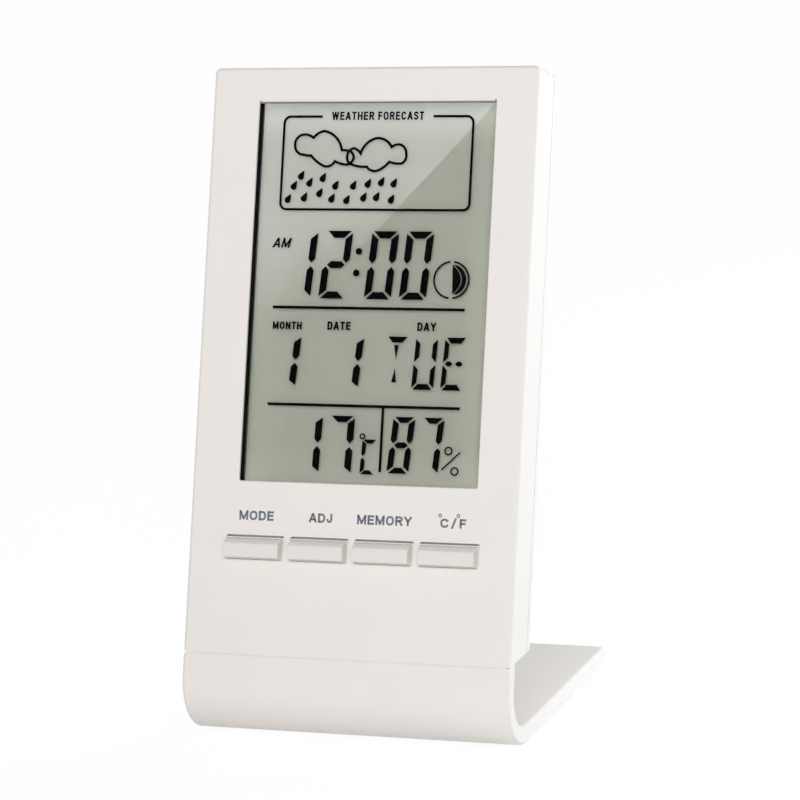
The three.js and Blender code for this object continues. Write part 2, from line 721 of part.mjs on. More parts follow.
// Keys: a cap whose upper face falls away to the front, a flange behind the wall and a short stem
function keyCap() {
  const half = keyHeight / 2;
  const brow = half - keySlope;
  const shape = new THREE.Shape();
  shape.moveTo(flangeFront + bite, -half);
  shape.lineTo(flangeFront + bite, half);
  shape.lineTo(0, half);
  shape.quadraticCurveTo(-keyProud * 0.6, half - keySlope * 0.35, -keyProud + keyNose * 0.4, brow);
  shape.quadraticCurveTo(-keyProud, brow - keyNose * 0.3, -keyProud, brow - keyNose);
  shape.lineTo(-keyProud, -half + keyNose);
  shape.quadraticCurveTo(-keyProud, -half, -keyProud + keyNose, -half);
  shape.closePath();
  const cap = acrossPrism(shape, [-keyWidth / 2, keyWidth / 2], keyEdge, 2);
  const flange = block(
    [-keyWidth / 2 - keyFlange, keyWidth / 2 + keyFlange], [flangeFront, flangeRear],
    [-half - keyFlange - fit, half + keyTopGap + keyFlange]);
  const stem = block(
    [-keyStemWidth / 2, keyStemWidth / 2], [flangeRear - bite, flangeRear + keyStem],
    [-keyStemWidth / 2, keyStemWidth / 2]);
  return joined(cap, flange, stem);
}

function switchBody() {
  const half = switchSize / 2;
  const depth = boardFront - fit - switchFront;
  const body = faceSlab(roundedRectangle([-half, half], [-half, half], switchCorner, 1), [0, depth]);
  return body.subtract(depthBar(plungerRadius + fit, 0, 0, [-1, depth - switchFloor], smallSegments));
}

function plungerBar() {
  return depthBar(plungerRadius, 0, 0, [0, plungerLength], smallSegments);
}

// Screws: round head with a cross recess towards the back, shank towards the face
function screw(headRadius, headHeight, shankRadius, length) {
  const head = depthBar(headRadius, 0, 0, [0, headHeight]);
  const shank = depthBar(shankRadius, 0, 0, [-length, bite], smallSegments);
  const recess = [headHeight - crossDepth, headHeight + 1];
  const slot = [-crossWidth / 2, crossWidth / 2];
  return cut(
    joined(head, shank),
    block([-crossArm, crossArm], recess, slot), block(slot, recess, [-crossArm, crossArm]));
}

// Board and components
function mainBoard() {
  const sides = [windowOffset - frameHalfWidth, windowOffset + frameHalfWidth];
  const span = [boardFront, boardRear];
  const earEnd = boardScrewX + boardBossRadius + boardEar;
  const earHalf = boardBossRadius + boardEar;
  const ears = boardScrewUps.map((up) => faceSlab(
    roundedRectangle([-earEnd, earEnd], [up - earHalf, up + earHalf], boardEarCorner), span));
  const holes = boardScrewPlaces.map(([x, up]) => depthBar(
    boardScrewRadius + fit, x, up, [span[0] - 1, span[1] + 1], smallSegments));
  return cut(joined(block(sides, span, [boardBottom, boardTop]), ...ears), ...holes);
}

function epoxyBlob() {
  const dome = new THREE.SphereGeometry(1, roundSegments, domeRings);
  dome.scale(blobRadius, blobHeight, blobRadius);
  const wide = [-blobRadius - 1, blobRadius + 1];
  return toSolid(dome).subtract(block(wide, [-blobHeight - 1, 0], wide));
}

function lyingCan() {
  const can = new THREE.CylinderGeometry(crystalRadius, crystalRadius, crystalLength, smallSegments);
  can.rotateZ(Math.PI / 2);
  return toSolid(can);
}

function humiditySensor() {
  const outline = roundedRectangle(
    [-sensorWidth / 2, sensorWidth / 2], [-sensorHeight / 2, sensorHeight / 2], sensorCorner);
  const across = [-sensorWidth / 2 + sensorWall, sensorWidth / 2 - sensorWall];
  const depth = [sensorThickness - sensorSlotDepth, sensorThickness + 1];
  const slots = Array.from({ length: sensorSlots }, (unused, index) => {
    const up = (index - (sensorSlots - 1) / 2) * sensorSlotPitch;
    return block(across, depth, [up - sensorSlotWidth / 2, up + sensorSlotWidth / 2]);
  });
  return cut(faceSlab(outline, [0, sensorThickness]), ...slots);
}

function beadThermistor() {
  const bead = new THREE.SphereGeometry(beadRadius, smallSegments, domeRings);
  bead.translate(0, beadStandOff, 0);
  const legs = bothSides.map((side) => depthBar(
    legRadius, (side * legPitch) / 2, 0, [0, beadStandOff], wireSegments));
  return joined(toSolid(bead), ...legs);
}

function capacitorChip() {
  const across = [-capacitorWidth / 2, capacitorWidth / 2];
  return block(across, [0, capacitorDepth], [-capacitorHeight / 2, capacitorHeight / 2]);
}

// Cell and its contacts
function cellBody() {
  const shoulder = cellLength - cellNubLength;
  const outline = [
    [0, 0], [cellRadius - cellEdge, 0], [cellRadius, cellEdge],
    [cellRadius, shoulder - cellEdge], [cellRadius - cellEdge, shoulder],
    [cellNubRadius, shoulder], [cellNubRadius, cellLength - cellEdge / 2],
    [cellNubRadius - cellEdge / 2, cellLength], [0, cellLength],
  ].map(([radius, along]) => new THREE.Vector2(radius, along));
  const cell = new THREE.LatheGeometry(outline, roundSegments);
  cell.rotateZ(-Math.PI / 2);
  return toSolid(cell);
}

// Cone spring: the radius narrows steadily from the contact to the cell
class SpringCurve extends THREE.Curve {
  getPoint(share, target = new THREE.Vector3()) {
    const angle = share * springTurns * 2 * Math.PI;
    const radius = THREE.MathUtils.lerp(springWide, springNarrow, share);
    const along = contactPlate / 2 + share * (springLength - 2 * springWire);
    return target.set(along, radius * Math.cos(angle), radius * Math.sin(angle));
  }
}

function contactFace(side) {
  const x = side * (bayHalf - fit - contactPlate / 2);
  const span = [x - contactPlate / 2, x + contactPlate / 2];
  const face = block(
    span, [cellAxis - contactHalf, cellAxis + contactHalf], [cellUp - contactHalf, cellUp + contactHalf]);
  const tail = block(
    span, [onBoard + fit, onBoard + fit + contactTailWidth],
    [cellUp + contactHalf - bite, bayTop + contactTailRise]);
  return face.add(tail);
}

function negativeContact() {
  const section = new THREE.Shape().absarc(0, 0, springWire, 0, 2 * Math.PI);
  const spring = new THREE.ExtrudeGeometry(section, {
    steps: Math.round(springTurns * springTurnSteps),
    curveSegments: wireSegments / 2,
    extrudePath: new SpringCurve(),
  });
  spring.translate(-bayHalf + fit + contactPlate / 2, cellAxis, cellUp);
  return contactFace(-1).add(toSolid(spring));
}

// Leads bow smoothly from a contact or the sound disc to their solder points on the board
function lead(start, end) {
  const from = new THREE.Vector3(...start);
  const to = new THREE.Vector3(...end);
  const bowed = [1 / 3, 2 / 3].map(
    (share) => from.clone().lerp(to, share).add(new THREE.Vector3(0, leadBow, 0)));
  const path = new THREE.CatmullRomCurve3([from, ...bowed, to]);
  const round = new THREE.Shape().absarc(0, 0, leadRadius, 0, 2 * Math.PI);
  return toSolid(new THREE.ExtrudeGeometry(round, {
    steps: leadSteps, curveSegments: wireSegments / 2, extrudePath: path,
  }));
}

function batteryLead(side) {
  const tailX = side * (bayHalf - fit - contactPlate);
  const up = bayTop + contactTailRise / 2;
  return lead(
    [tailX - side * (fit + leadRadius), onBoard + 2 * fit + contactTailWidth / 2, up],
    [tailX - side * batteryLeadRun, onBoard + leadRadius, up + batteryLeadRise]);
}

function soundLead(side) {
  const x = soundX + side * soundLeadSpread;
  return lead(
    [x, piezoFront - fit - leadRadius, soundUp - soundLeadStart],
    [x, onBoard + leadRadius, soundUp - soundLeadDrop]);
}

// Assembly
const hygrometer = new THREE.Group();
const body = new THREE.Group();
body.position.set(0, -(standProfile().front + footDepth) / 2, padProud);
hygrometer.add(body);

const caseGroup = new THREE.Group();
caseGroup.position.set(0, 0, seamHeight);
caseGroup.rotation.x = -lean;
caseGroup.updateMatrix();
body.add(caseGroup);

function place(parent, name, solid, material, position = [0, 0, 0]) {
  const mesh = new THREE.Mesh(toGeometry(solid), material);
  mesh.name = name;
  mesh.position.set(...position);
  parent.add(mesh);
}

place(body, 'stand', standBody(caseGroup.matrix), shellWhite);
padPlaces.forEach(([x, y], index) => {
  const pad = upright(padRadius, x, y, [-padProud, padThickness - padProud]);
  place(body, `foot_pad_${index + 1}`, pad, rubberGrey);
});

place(caseGroup, 'front_housing', frontShell(), shellWhite);
place(caseGroup, 'rear_housing', rearShell(), shellWhite);
place(caseGroup, 'battery_door', batteryDoor(), shellWhite);

const display = new THREE.Group();
display.position.set(windowOffset, 0, windowMiddle);
caseGroup.add(display);
const lens = windowSlab(lensMargin, lensCorner, [0, lensThickness]);
const zebraUp = rearGlassHalfHeight + (fit + contactLedge) / 2;
place(display, 'display_window', lens, clearLens, [0, lensFront, 0]);
place(display, 'window_gasket', gasketRing(), blackFoam, [0, gasketFront, 0]);
place(display, 'lcd_front_polarizer', displaySlab(rearGlassHalfHeight, polarizerThickness), clearLens,
  [0, polarizerFront, 0]);
place(display, 'lcd_front_glass', displaySlab(frontGlassHalfHeight, glassThickness), clearLens,
  [0, frontGlass, 0]);
place(display, 'lcd_rear_glass', displaySlab(rearGlassHalfHeight, glassThickness), clearLens,
  [0, rearGlass, 0]);
place(display, 'lcd_reflector', displaySlab(rearGlassHalfHeight, reflectorThickness), displayGrey,
  [0, reflectorFront, 0]);
place(display, 'lcd_frame', displayFrame(), frameGrey, [0, polarizerFront, 0]);
place(display, 'zebra_strip_upper', zebraStrip(), rubberGrey, [0, 0, zebraUp]);
place(display, 'zebra_strip_lower', zebraStrip(), rubberGrey, [0, 0, -zebraUp]);

place(caseGroup, 'main_board', mainBoard(), boardGreen);
place(caseGroup, 'chip_blob', epoxyBlob(), epoxyBlack, [windowOffset, onBoard, windowMiddle - blobDrop]);
place(caseGroup, 'quartz_crystal', lyingCan(), nickel,
  [crystalX, onBoard + crystalRadius, windowMiddle + crystalRise]);
capacitorOffsets.forEach(([x, up], index) => {
  place(caseGroup, `capacitor_${index + 1}`, capacitorChip(), ceramicTan, [x, onBoard, windowMiddle + up]);
});
place(caseGroup, 'humidity_sensor', humiditySensor(), sensorWhite, [sensorX, onBoard, sensorUp]);
place(caseGroup, 'thermistor', beadThermistor(), epoxyBlack, [beadX, onBoard, sensorUp]);
place(caseGroup, 'piezo_disc', depthBar(piezoRadius, 0, 0, [0, piezoThickness]), brass,
  [soundX, piezoFront, soundUp]);
place(caseGroup, 'piezo_lead_1', soundLead(-1), leadRed);
place(caseGroup, 'piezo_lead_2', soundLead(1), leadBlack);

keyNames.forEach((name, index) => {
  const x = keyX[index];
  place(caseGroup, `${name}_key`, keyCap(), keyWhite, [x, 0, keyMiddle]);
  place(caseGroup, `${name}_plunger`, plungerBar(), switchBlack, [x, plungerFront, keyMiddle]);
  place(caseGroup, `${name}_switch`, switchBody(), switchBlack, [x, switchFront, keyMiddle]);
});

const cellEnd = bayHalf - contactRoom - fit;
place(caseGroup, 'battery_cell', cellBody(), cellSilver, [cellEnd - cellLength, cellAxis, cellUp]);
place(caseGroup, 'contact_positive', contactFace(1), nickel);
place(caseGroup, 'contact_negative', negativeContact(), nickel);
place(caseGroup, 'lead_positive', batteryLead(1), leadRed);
place(caseGroup, 'lead_negative', batteryLead(-1), leadBlack);

const screwEnd = frontWall + screwFloor + fit;
shellScrewPlaces.forEach(([x, up], index) => {
  const fixing = screw(shellScrewHead, shellScrewHeadHeight, shellScrewRadius, shellSeat - screwEnd);
  place(caseGroup, `housing_screw_${index + 1}`, fixing, nickel, [x, shellSeat, up]);
});
boardScrewPlaces.forEach(([x, up], index) => {
  const fixing = screw(boardScrewHead, boardScrewHeadHeight, boardScrewRadius, onBoard - screwEnd);
  place(caseGroup, `board_screw_${index + 1}`, fixing, nickel, [x, onBoard, up]);
});

export default hygrometer;
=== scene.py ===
import json
import math

import bmesh
import bpy
import numpy as np
from mathutils import Matrix, Vector

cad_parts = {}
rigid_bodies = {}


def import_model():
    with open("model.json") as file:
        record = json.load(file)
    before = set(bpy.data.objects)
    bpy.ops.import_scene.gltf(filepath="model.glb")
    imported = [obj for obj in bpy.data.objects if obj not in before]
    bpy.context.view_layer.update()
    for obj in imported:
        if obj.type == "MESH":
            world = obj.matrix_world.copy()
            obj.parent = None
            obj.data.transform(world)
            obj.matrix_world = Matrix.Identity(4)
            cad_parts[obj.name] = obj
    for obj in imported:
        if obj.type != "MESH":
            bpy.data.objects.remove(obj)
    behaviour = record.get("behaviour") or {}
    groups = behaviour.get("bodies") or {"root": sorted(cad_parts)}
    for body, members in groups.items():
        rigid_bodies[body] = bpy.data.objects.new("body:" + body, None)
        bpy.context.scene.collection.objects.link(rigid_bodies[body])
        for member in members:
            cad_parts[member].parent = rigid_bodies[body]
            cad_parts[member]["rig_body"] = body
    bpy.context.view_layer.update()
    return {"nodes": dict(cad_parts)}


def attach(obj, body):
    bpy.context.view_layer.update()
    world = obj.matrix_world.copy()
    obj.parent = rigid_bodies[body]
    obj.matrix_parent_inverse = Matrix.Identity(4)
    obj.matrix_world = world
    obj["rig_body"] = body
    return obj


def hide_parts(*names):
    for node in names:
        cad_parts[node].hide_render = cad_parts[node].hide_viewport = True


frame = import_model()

scene = bpy.context.scene
scene.view_settings.view_transform = "Standard"

# The case leans back, and display, keys and labels are laid out on its face plane.
# Face coordinates are millimetres: across, depth behind the face, and up the face from the stand's seam.
case = {"lean": math.radians(17.6), "seam": (-32.0122, 19.1), "perMetre": 1000, "body": "case_and_stand"}
leanSin, leanCos = math.sin(case["lean"]), math.cos(case["lean"])


def toWorld(points):
    # the face axes turned back by the lean and moved to the seam, in metres
    across, depth, up = np.asarray(points, float).reshape(-1, 3).T
    y = case["seam"][0] + depth * leanCos + up * leanSin
    z = case["seam"][1] + up * leanCos - depth * leanSin
    return np.column_stack([across, y, z]) / case["perMetre"]


def meshPiece(name, parts, material, body=case["body"]):
    # one mesh of all the parts: each part's faces are counted on from the points before it
    counts = [len(points) for points, _ in parts]
    starts = np.cumsum([0, *counts[:-1]])
    faces = [(np.array(face) + start).tolist() for (_, part), start in zip(parts, starts) for face in part]
    mesh = bpy.data.meshes.new(name)
    mesh.from_pydata(toWorld(np.vstack([points for points, _ in parts])).tolist(), [], faces)
    linkPiece(name, mesh, material, body)


def linkPiece(name, mesh, material, body):
    piece = bpy.data.objects.new(name, mesh)
    scene.collection.objects.link(piece)
    mesh.materials.clear()
    mesh.materials.append(material)
    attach(piece, body)
    return piece


print("materials")
displayCurve = {"toe": 0.04045, "slope": 12.92, "lift": 0.055, "power": 2.4}


def linear(red, green, blue):
    # display values from 0 to 255 as the linear colour that gives them: a straight toe, and a power above it
    share = np.array([red, green, blue]) / 255
    toe = share / displayCurve["slope"]
    curve = ((share + displayCurve["lift"]) / (1 + displayCurve["lift"])) ** displayCurve["power"]
    return (*np.where(share <= displayCurve["toe"], toe, curve).tolist(), 1.0)


grainInputs = {
    "light": "Color", "dark": "Color", "mottle": "Float", "grain": "Float", "depth": "Float",
    "roughness": "Float", "spread": "Float",
}
grainOutputs = {"color": "Color", "roughness": "Float", "normal": "Vector"}


def makeGrain():
    # moulded and printed surfaces share it: slow mottling of two close colours, uneven gloss, fine relief
    group = bpy.data.node_groups.new("surfaceGrain", "ShaderNodeTree")
    for way, sockets in (("INPUT", grainInputs), ("OUTPUT", grainOutputs)):
        for name, kind in sockets.items():
            group.interface.new_socket(name=name.capitalize(), in_out=way, socket_type=f"NodeSocket{kind}")
    add, link = group.nodes.new, group.links.new
    given, result = add("NodeGroupInput"), add("NodeGroupOutput")
    place = add("ShaderNodeTexCoord")
    slow, fine = add("ShaderNodeTexNoise"), add("ShaderNodeTexNoise")
    for noise, size, detail in ((slow, "Mottle", 3), (fine, "Grain", 2)):
        noise.inputs["Detail"].default_value = detail
        link(place.outputs["Object"], noise.inputs["Vector"])
        link(given.outputs[size], noise.inputs["Scale"])
    colour = add("ShaderNodeMix")
    colour.data_type = "RGBA"
    link(slow.outputs["Fac"], colour.inputs["Factor"])
    link(given.outputs["Light"], colour.inputs["A"])
    link(given.outputs["Dark"], colour.inputs["B"])
    # the fine noise, which lies round a half, spreads the roughness to both sides of its value
    centred, rough = add("ShaderNodeMath"), add("ShaderNodeMath")
    centred.operation, centred.inputs[1].default_value = "SUBTRACT", 0.5
    rough.operation = "MULTIPLY_ADD"
    link(fine.outputs["Fac"], centred.inputs[0])
    link(centred.outputs[0], rough.inputs[0])
    link(given.outputs["Spread"], rough.inputs[1])
    link(given.outputs["Roughness"], rough.inputs[2])
    bump = add("ShaderNodeBump")
    bump.inputs["Strength"].default_value = 1.0
    link(fine.outputs["Fac"], bump.inputs["Height"])
    link(given.outputs["Depth"], bump.inputs["Distance"])
    link(colour.outputs["Result"], result.inputs["Color"])
    link(rough.outputs[0], result.inputs["Roughness"])
    link(bump.outputs["Normal"], result.inputs["Normal"])
    return group


grain = makeGrain()


def newMaterial(name):
    material = bpy.data.materials.new(name)
    material.use_nodes = True
    tree = material.node_tree
    tree.nodes.clear()
    surface = tree.nodes.new("ShaderNodeBsdfPrincipled")
    output = tree.nodes.new("ShaderNodeOutputMaterial")
    tree.links.new(surface.outputs["BSDF"], output.inputs["Surface"])
    return material, tree, surface, output


def grainNode(tree, look):
    node = tree.nodes.new("ShaderNodeGroup")
    node.node_tree = grain
    for socket in grainInputs:
        node.inputs[socket.capitalize()].default_value = look[socket]
    return node


def dress(tree, surface, node, colour):
    # the surface takes a colour, and its gloss and relief from the grain
    tree.links.new(colour, surface.inputs["Base Color"])
    for socket in ("Roughness", "Normal"):
        tree.links.new(node.outputs[socket], surface.inputs[socket])


def grainedMaterial(name, look):
    material, tree, surface, _ = newMaterial(name)
    node = grainNode(tree, look)
    dress(tree, surface, node, node.outputs["Color"])
    for socket, value in look.get("sockets", {}).items():
        surface.inputs[socket].default_value = value
    return material


def glassMaterial(name, look):
    # clear to shadow rays and to light from matt surfaces, so that it reaches what lies behind the pane
    material, tree, surface, output = newMaterial(name)
    surface.inputs["Base Color"].default_value = look["colour"]
    surface.inputs["Roughness"].default_value = look["roughness"]
    surface.inputs["IOR"].default_value = look["ior"]
    surface.inputs["Transmission Weight"].default_value = 1.0
    surface.inputs["Specular Tint"].default_value = look["mirror"]
    clear = tree.nodes.new("ShaderNodeBsdfTransparent")
    rays = tree.nodes.new("ShaderNodeLightPath")
    shader = surface.outputs["BSDF"]
    for kind in ("Is Shadow Ray", "Is Diffuse Ray"):
        mix = tree.nodes.new("ShaderNodeMixShader")
        tree.links.new(rays.outputs[kind], mix.inputs["Fac"])
        tree.links.new(shader, mix.inputs[1])
        tree.links.new(clear.outputs["BSDF"], mix.inputs[2])
        shader = mix.outputs["Shader"]
    tree.links.new(shader, output.inputs["Surface"])
    return material


looks = {
    "shellPlastic": {
        "light": linear(238, 233, 229), "dark": linear(235, 230, 225), "mottle": 60, "grain": 5200,
        "depth": 0.000004, "roughness": 0.46, "spread": 0.12,
    },
    "keyPlastic": {
        "light": linear(231, 226, 222), "dark": linear(228, 223, 219), "mottle": 110, "grain": 6500,
        "depth": 0.000003, "roughness": 0.4, "spread": 0.1,
    },
    "blackRubber": {
        "light": linear(40, 40, 41), "dark": linear(30, 30, 31), "mottle": 400, "grain": 3800,
        "depth": 0.00002, "roughness": 0.85, "spread": 0.2, "sockets": {"Specular IOR Level": 0.3},
    },
    "blackFoam": {
        "light": linear(18, 18, 18), "dark": linear(8, 8, 8), "mottle": 1500, "grain": 6000,
        "depth": 0.00004, "roughness": 0.95, "spread": 0.1, "sockets": {"Specular IOR Level": 0.1},
    },
    "displayBacking": {
        "light": linear(167, 170, 156), "dark": linear(163, 166, 152), "mottle": 35, "grain": 9000,
        "depth": 0.000002, "roughness": 0.6, "spread": 0.1, "sockets": {"Specular IOR Level": 0.2},
    },
    "crystalInk": {
        "light": linear(14, 14, 15), "dark": linear(6, 6, 7), "mottle": 300, "grain": 5000,
        "depth": 0.000001, "roughness": 0.7, "spread": 0.1, "sockets": {"Specular IOR Level": 0.05},
    },
    "labelInk": {
        "light": linear(122, 127, 139), "dark": linear(112, 117, 129), "mottle": 900, "grain": 7000,
        "depth": 0.000002, "roughness": 0.55, "spread": 0.15, "sockets": {"Specular IOR Level": 0.3},
    },
    # painted shade: the grey of a strip along the lens's upper edge, where the window's rim shades it
    "borderInk": {
        "light": linear(140, 133, 124), "dark": linear(130, 123, 114), "mottle": 700, "grain": 7000,
        "depth": 0.000001, "roughness": 0.6, "spread": 0.1,
    },
    "palePlastic": {
        "light": linear(226, 226, 222), "dark": linear(216, 216, 212), "mottle": 90, "grain": 4500,
        "depth": 0.000006, "roughness": 0.6, "spread": 0.12,
    },
    "blackPlastic": {
        "light": linear(48, 48, 50), "dark": linear(36, 36, 38), "mottle": 260, "grain": 4200,
        "depth": 0.000006, "roughness": 0.45, "spread": 0.15,
    },
    "epoxy": {
        "light": linear(30, 30, 31), "dark": linear(18, 18, 19), "mottle": 500, "grain": 1800,
        "depth": 0.00003, "roughness": 0.3, "spread": 0.15,
    },
    "ceramic": {
        "light": linear(196, 172, 134), "dark": linear(180, 154, 116), "mottle": 1500, "grain": 6000,
        "depth": 0.000008, "roughness": 0.55, "spread": 0.15,
    },
    "brass": {
        "light": linear(222, 196, 128), "dark": linear(204, 172, 100), "mottle": 180, "grain": 3000,
        "depth": 0.000004, "roughness": 0.32, "spread": 0.2, "sockets": {"Metallic": 1.0},
    },
    "nickelledSteel": {
        "light": linear(214, 215, 217), "dark": linear(192, 193, 196), "mottle": 350, "grain": 4200,
        "depth": 0.000004, "roughness": 0.28, "spread": 0.2, "sockets": {"Metallic": 1.0},
    },
    "redLead": {
        "light": linear(190, 30, 26), "dark": linear(168, 20, 18), "mottle": 700, "grain": 3000,
        "depth": 0.000004, "roughness": 0.4, "spread": 0.12,
    },
    "blackLead": {
        "light": linear(40, 40, 41), "dark": linear(26, 26, 27), "mottle": 700, "grain": 3000,
        "depth": 0.000004, "roughness": 0.4, "spread": 0.12,
    },
}
# the lens mirrors less than real acrylic, and the inner panes lie on each other, where light hardly bends
panes = {
    "lensPane": {"colour": (1, 1, 1, 1), "roughness": 0.0, "ior": 1.49, "mirror": (0.4, 0.4, 0.4, 1)},
    "innerPane": {"colour": (1, 1, 1, 1), "roughness": 0.0, "ior": 1.02, "mirror": (1, 1, 1, 1)},
}
made = {name: grainedMaterial(name, look) for name, look in looks.items()}
made |= {name: glassMaterial(name, look) for name, look in panes.items()}

boardLook = {
    "light": linear(30, 110, 62), "dark": linear(20, 88, 48), "mottle": 200, "grain": 4000,
    "depth": 0.000005, "roughness": 0.35, "spread": 0.15,
    "track": linear(52, 142, 84), "pitch": 320, "line": 0.09,
}


def makeBoard(look):
    # solder mask with paler tracks where copper lies under it:
    # the joints of a brick pattern, turned to the board
    material, tree, surface, _ = newMaterial("solderMask")
    node = grainNode(tree, look)
    place = tree.nodes.new("ShaderNodeTexCoord")
    tracks = tree.nodes.new("ShaderNodeTexBrick")
    tracks.inputs["Scale"].default_value = look["pitch"]
    tracks.inputs["Mortar Size"].default_value = look["line"]
    for socket, shade in (("Color1", 0), ("Color2", 0), ("Mortar", 1)):
        tracks.inputs[socket].default_value = (shade, shade, shade, 1)
    turned = tree.nodes.new("ShaderNodeMapping")
    turned.inputs["Rotation"].default_value = (math.radians(90), 0, 0)
    mix = tree.nodes.new("ShaderNodeMix")
    mix.data_type = "RGBA"
    mix.inputs["B"].default_value = look["track"]
    tree.links.new(place.outputs["Object"], turned.inputs["Vector"])
    tree.links.new(turned.outputs["Vector"], tracks.inputs["Vector"])
    tree.links.new(tracks.outputs["Color"], mix.inputs["Factor"])
    tree.links.new(node.outputs["Color"], mix.inputs["A"])
    dress(tree, surface, node, mix.outputs["Result"])
    return material


made["solderMask"] = makeBoard(boardLook)

print("pieces kept from the model")
# each finish with its nodes, by their names or by what their names share
finishes = {
    "shellPlastic": ("stand", "front_housing", "rear_housing", "battery_door"),
    "keyPlastic": ("_key",),
    "lensPane": ("display_window",),
    "innerPane": ("lcd_front", "lcd_rear"),
    "displayBacking": ("lcd_reflector",),
    "blackFoam": ("window_gasket",),
    "blackRubber": ("foot_pad", "zebra_strip"),
    "palePlastic": ("lcd_frame", "humidity_sensor"),
    "blackPlastic": ("_plunger", "_switch"),
    "solderMask": ("main_board",),
    "epoxy": ("chip_blob", "thermistor"),
    "ceramic": ("capacitor",),
    "brass": ("piezo_disc",),
    "redLead": ("lead_positive", "piezo_lead_1"),
    "blackLead": ("lead_negative", "piezo_lead_2"),
    "nickelledSteel": ("_screw", "quartz_crystal", "battery_cell", "contact"),
}
for node, piece in frame["nodes"].items():
    finish = next(name for name, words in finishes.items() if any(word in node for word in words))
    piece.data.materials.clear()
    piece.data.materials.append(made[finish])

smooth = {
    "angle": math.radians(32), "weld": 2e-6, "flat": math.radians(0.4), "weight": 90,
    "flatSided": ("lcd", "zebra", "main_board", "capacitor", "display_window"),  # these stay as they are
}


def smoothTwin(node, look):
    # the node's own surface with its points merged, flat fields dissolved and round forms shaded smooth
    source = frame["nodes"][node]
    mesh = source.data.copy()
    work = bmesh.new()
    work.from_mesh(mesh)
    bmesh.ops.remove_doubles(work, verts=work.verts, dist=look["weld"])
    bmesh.ops.dissolve_limit(work, angle_limit=look["flat"], verts=work.verts, edges=work.edges)
    work.to_mesh(mesh)
    work.free()
    mesh.shade_smooth()
    mesh.set_sharp_from_angle(angle=look["angle"])
    first, *words = node.split("_")
    name = first + "".join(word.capitalize() for word in words) + "Surface"
    twin = linkPiece(name, mesh, source.data.materials[0], source["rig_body"])
    weighted = twin.modifiers.new("weightedNormals", "WEIGHTED_NORMAL")
    weighted.keep_sharp = True
    weighted.weight = look["weight"]
    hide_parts(node)


rounded = [node for node in frame["nodes"] if not node.startswith(smooth["flatSided"])]
for node in rounded:
    smoothTwin(node, smooth)

print("display content")
# the characters lie between the two glasses, moved a little for the bending of light in the lens
display = {"depths": (4.62, 4.68), "shift": (0.14, -0.03)}


def prism(rings):
    # two rings of points, with a wall between each pair of neighbours and a face over each end
    count = len(rings[0])
    index = np.arange(count)
    ahead = (index + 1) % count
    walls = np.column_stack([index, index + count, ahead + count, ahead])
    return np.vstack(rings), [*walls.tolist(), index.tolist(), (index[::-1] + count).tolist()]


def slab(outline, depths):
    # a closed outline, turned anticlockwise by the sign of its area, at two depths
    outline = np.asarray(outline, float)
    following = np.roll(outline, -1, 0)
    area = np.sum(outline[:, 0] * following[:, 1] - following[:, 0] * outline[:, 1])
    across, up = (outline if area > 0 else outline[::-1]).T
    return prism([np.column_stack([across, np.full(len(up), depth), up]) for depth in depths])


def unit(vectors):
    return vectors / np.linalg.norm(vectors, axis=1, keepdims=True)


def ribbon(path, width, depths, closed=False):
    # a rectangle swept along a path: points along it by four corners,
    # half the width to each side and mitred at bends
    path = np.asarray(path, float)
    ahead = np.roll(path, -1, 0) - path
    behind = path - np.roll(path, 1, 0)
    if not closed:
        ahead[-1], behind[0] = behind[-1], ahead[0]
    ahead, behind = unit(ahead), unit(behind)
    tangent = unit(ahead + behind)
    side = np.column_stack([-tangent[:, 1], tangent[:, 0]])
    # a mitre is wider by one over the cosine of half the turn, and twice as wide at most
    bend = np.clip(np.sum(tangent * ahead, axis=1, keepdims=True), 0.5, 1)
    side = side * width / 2 / bend
    left, right = path + side, path - side
    front, back = depths
    corners = [(left, front), (right, front), (right, back), (left, back)]
    grid = np.stack([
        np.column_stack([at[:, 0], np.full(len(at), depth), at[:, 1]]) for at, depth in corners
    ], axis=1)
    rows = np.arange(len(path) if closed else len(path) - 1)
    row, corner = [values.ravel() for values in np.meshgrid(rows, np.arange(4), indexing="ij")]
    nextRow, nextCorner = (row + 1) % len(path), (corner + 1) % 4
    faces = np.column_stack([
        row * 4 + corner, row * 4 + nextCorner, nextRow * 4 + nextCorner, nextRow * 4 + corner,
    ]).tolist()
    if not closed:
        last = (len(path) - 1) * 4
        faces += [[3, 2, 1, 0], [last, last + 1, last + 2, last + 3]]
    return grid.reshape(-1, 3), faces


def arcPath(centre, reach, start, end, steps=12, power=1.0):
    # equal steps of angle round a centre, in degrees anticlockwise from the right;
    # a power under one squares the arc
    angle = np.radians(np.linspace(start, end, steps + 1))
    wave = np.column_stack([np.cos(angle), np.sin(angle)])
    return np.asarray(centre) + np.asarray(reach) * np.sign(wave) * np.abs(wave) ** power


def circlePath(centre, radius, points=24):
    # a whole circle as a closed path, whose last point is one step before the first
    return arcPath(centre, radius, 0, 360 - 360 / points, points - 1)


def bulgedPath(anchors, bulge, steps=8):
    # neighbouring anchors joined by circular arcs, which swell to the left
    # by the tangent of a quarter of their angle
    anchors = np.asarray(anchors, float)
    halfChord = (np.roll(anchors, -1, 0) - anchors)[:, None, :] / 2
    middle = anchors[:, None, :] + halfChord
    normal = np.stack([-halfChord[..., 1], halfChord[..., 0]], axis=-1)
    half = 2 * np.arctan(np.asarray(bulge, float))[:, None]
    turn = half * np.linspace(-1, 1, steps, endpoint=False)
    along = (np.sin(turn) / np.sin(half))[..., None]
    rise = ((np.cos(turn) - np.cos(half)) / np.sin(half))[..., None]
    return (middle + along * halfChord + rise * normal).reshape(-1, 2)


def onDisplay(points):
    return np.asarray(points, float) + display["shift"]


def displaySlab(points):
    return slab(onDisplay(points), display["depths"])


def displayLine(points, width, closed=False):
    return ribbon(onDisplay(points), width, display["depths"], closed)


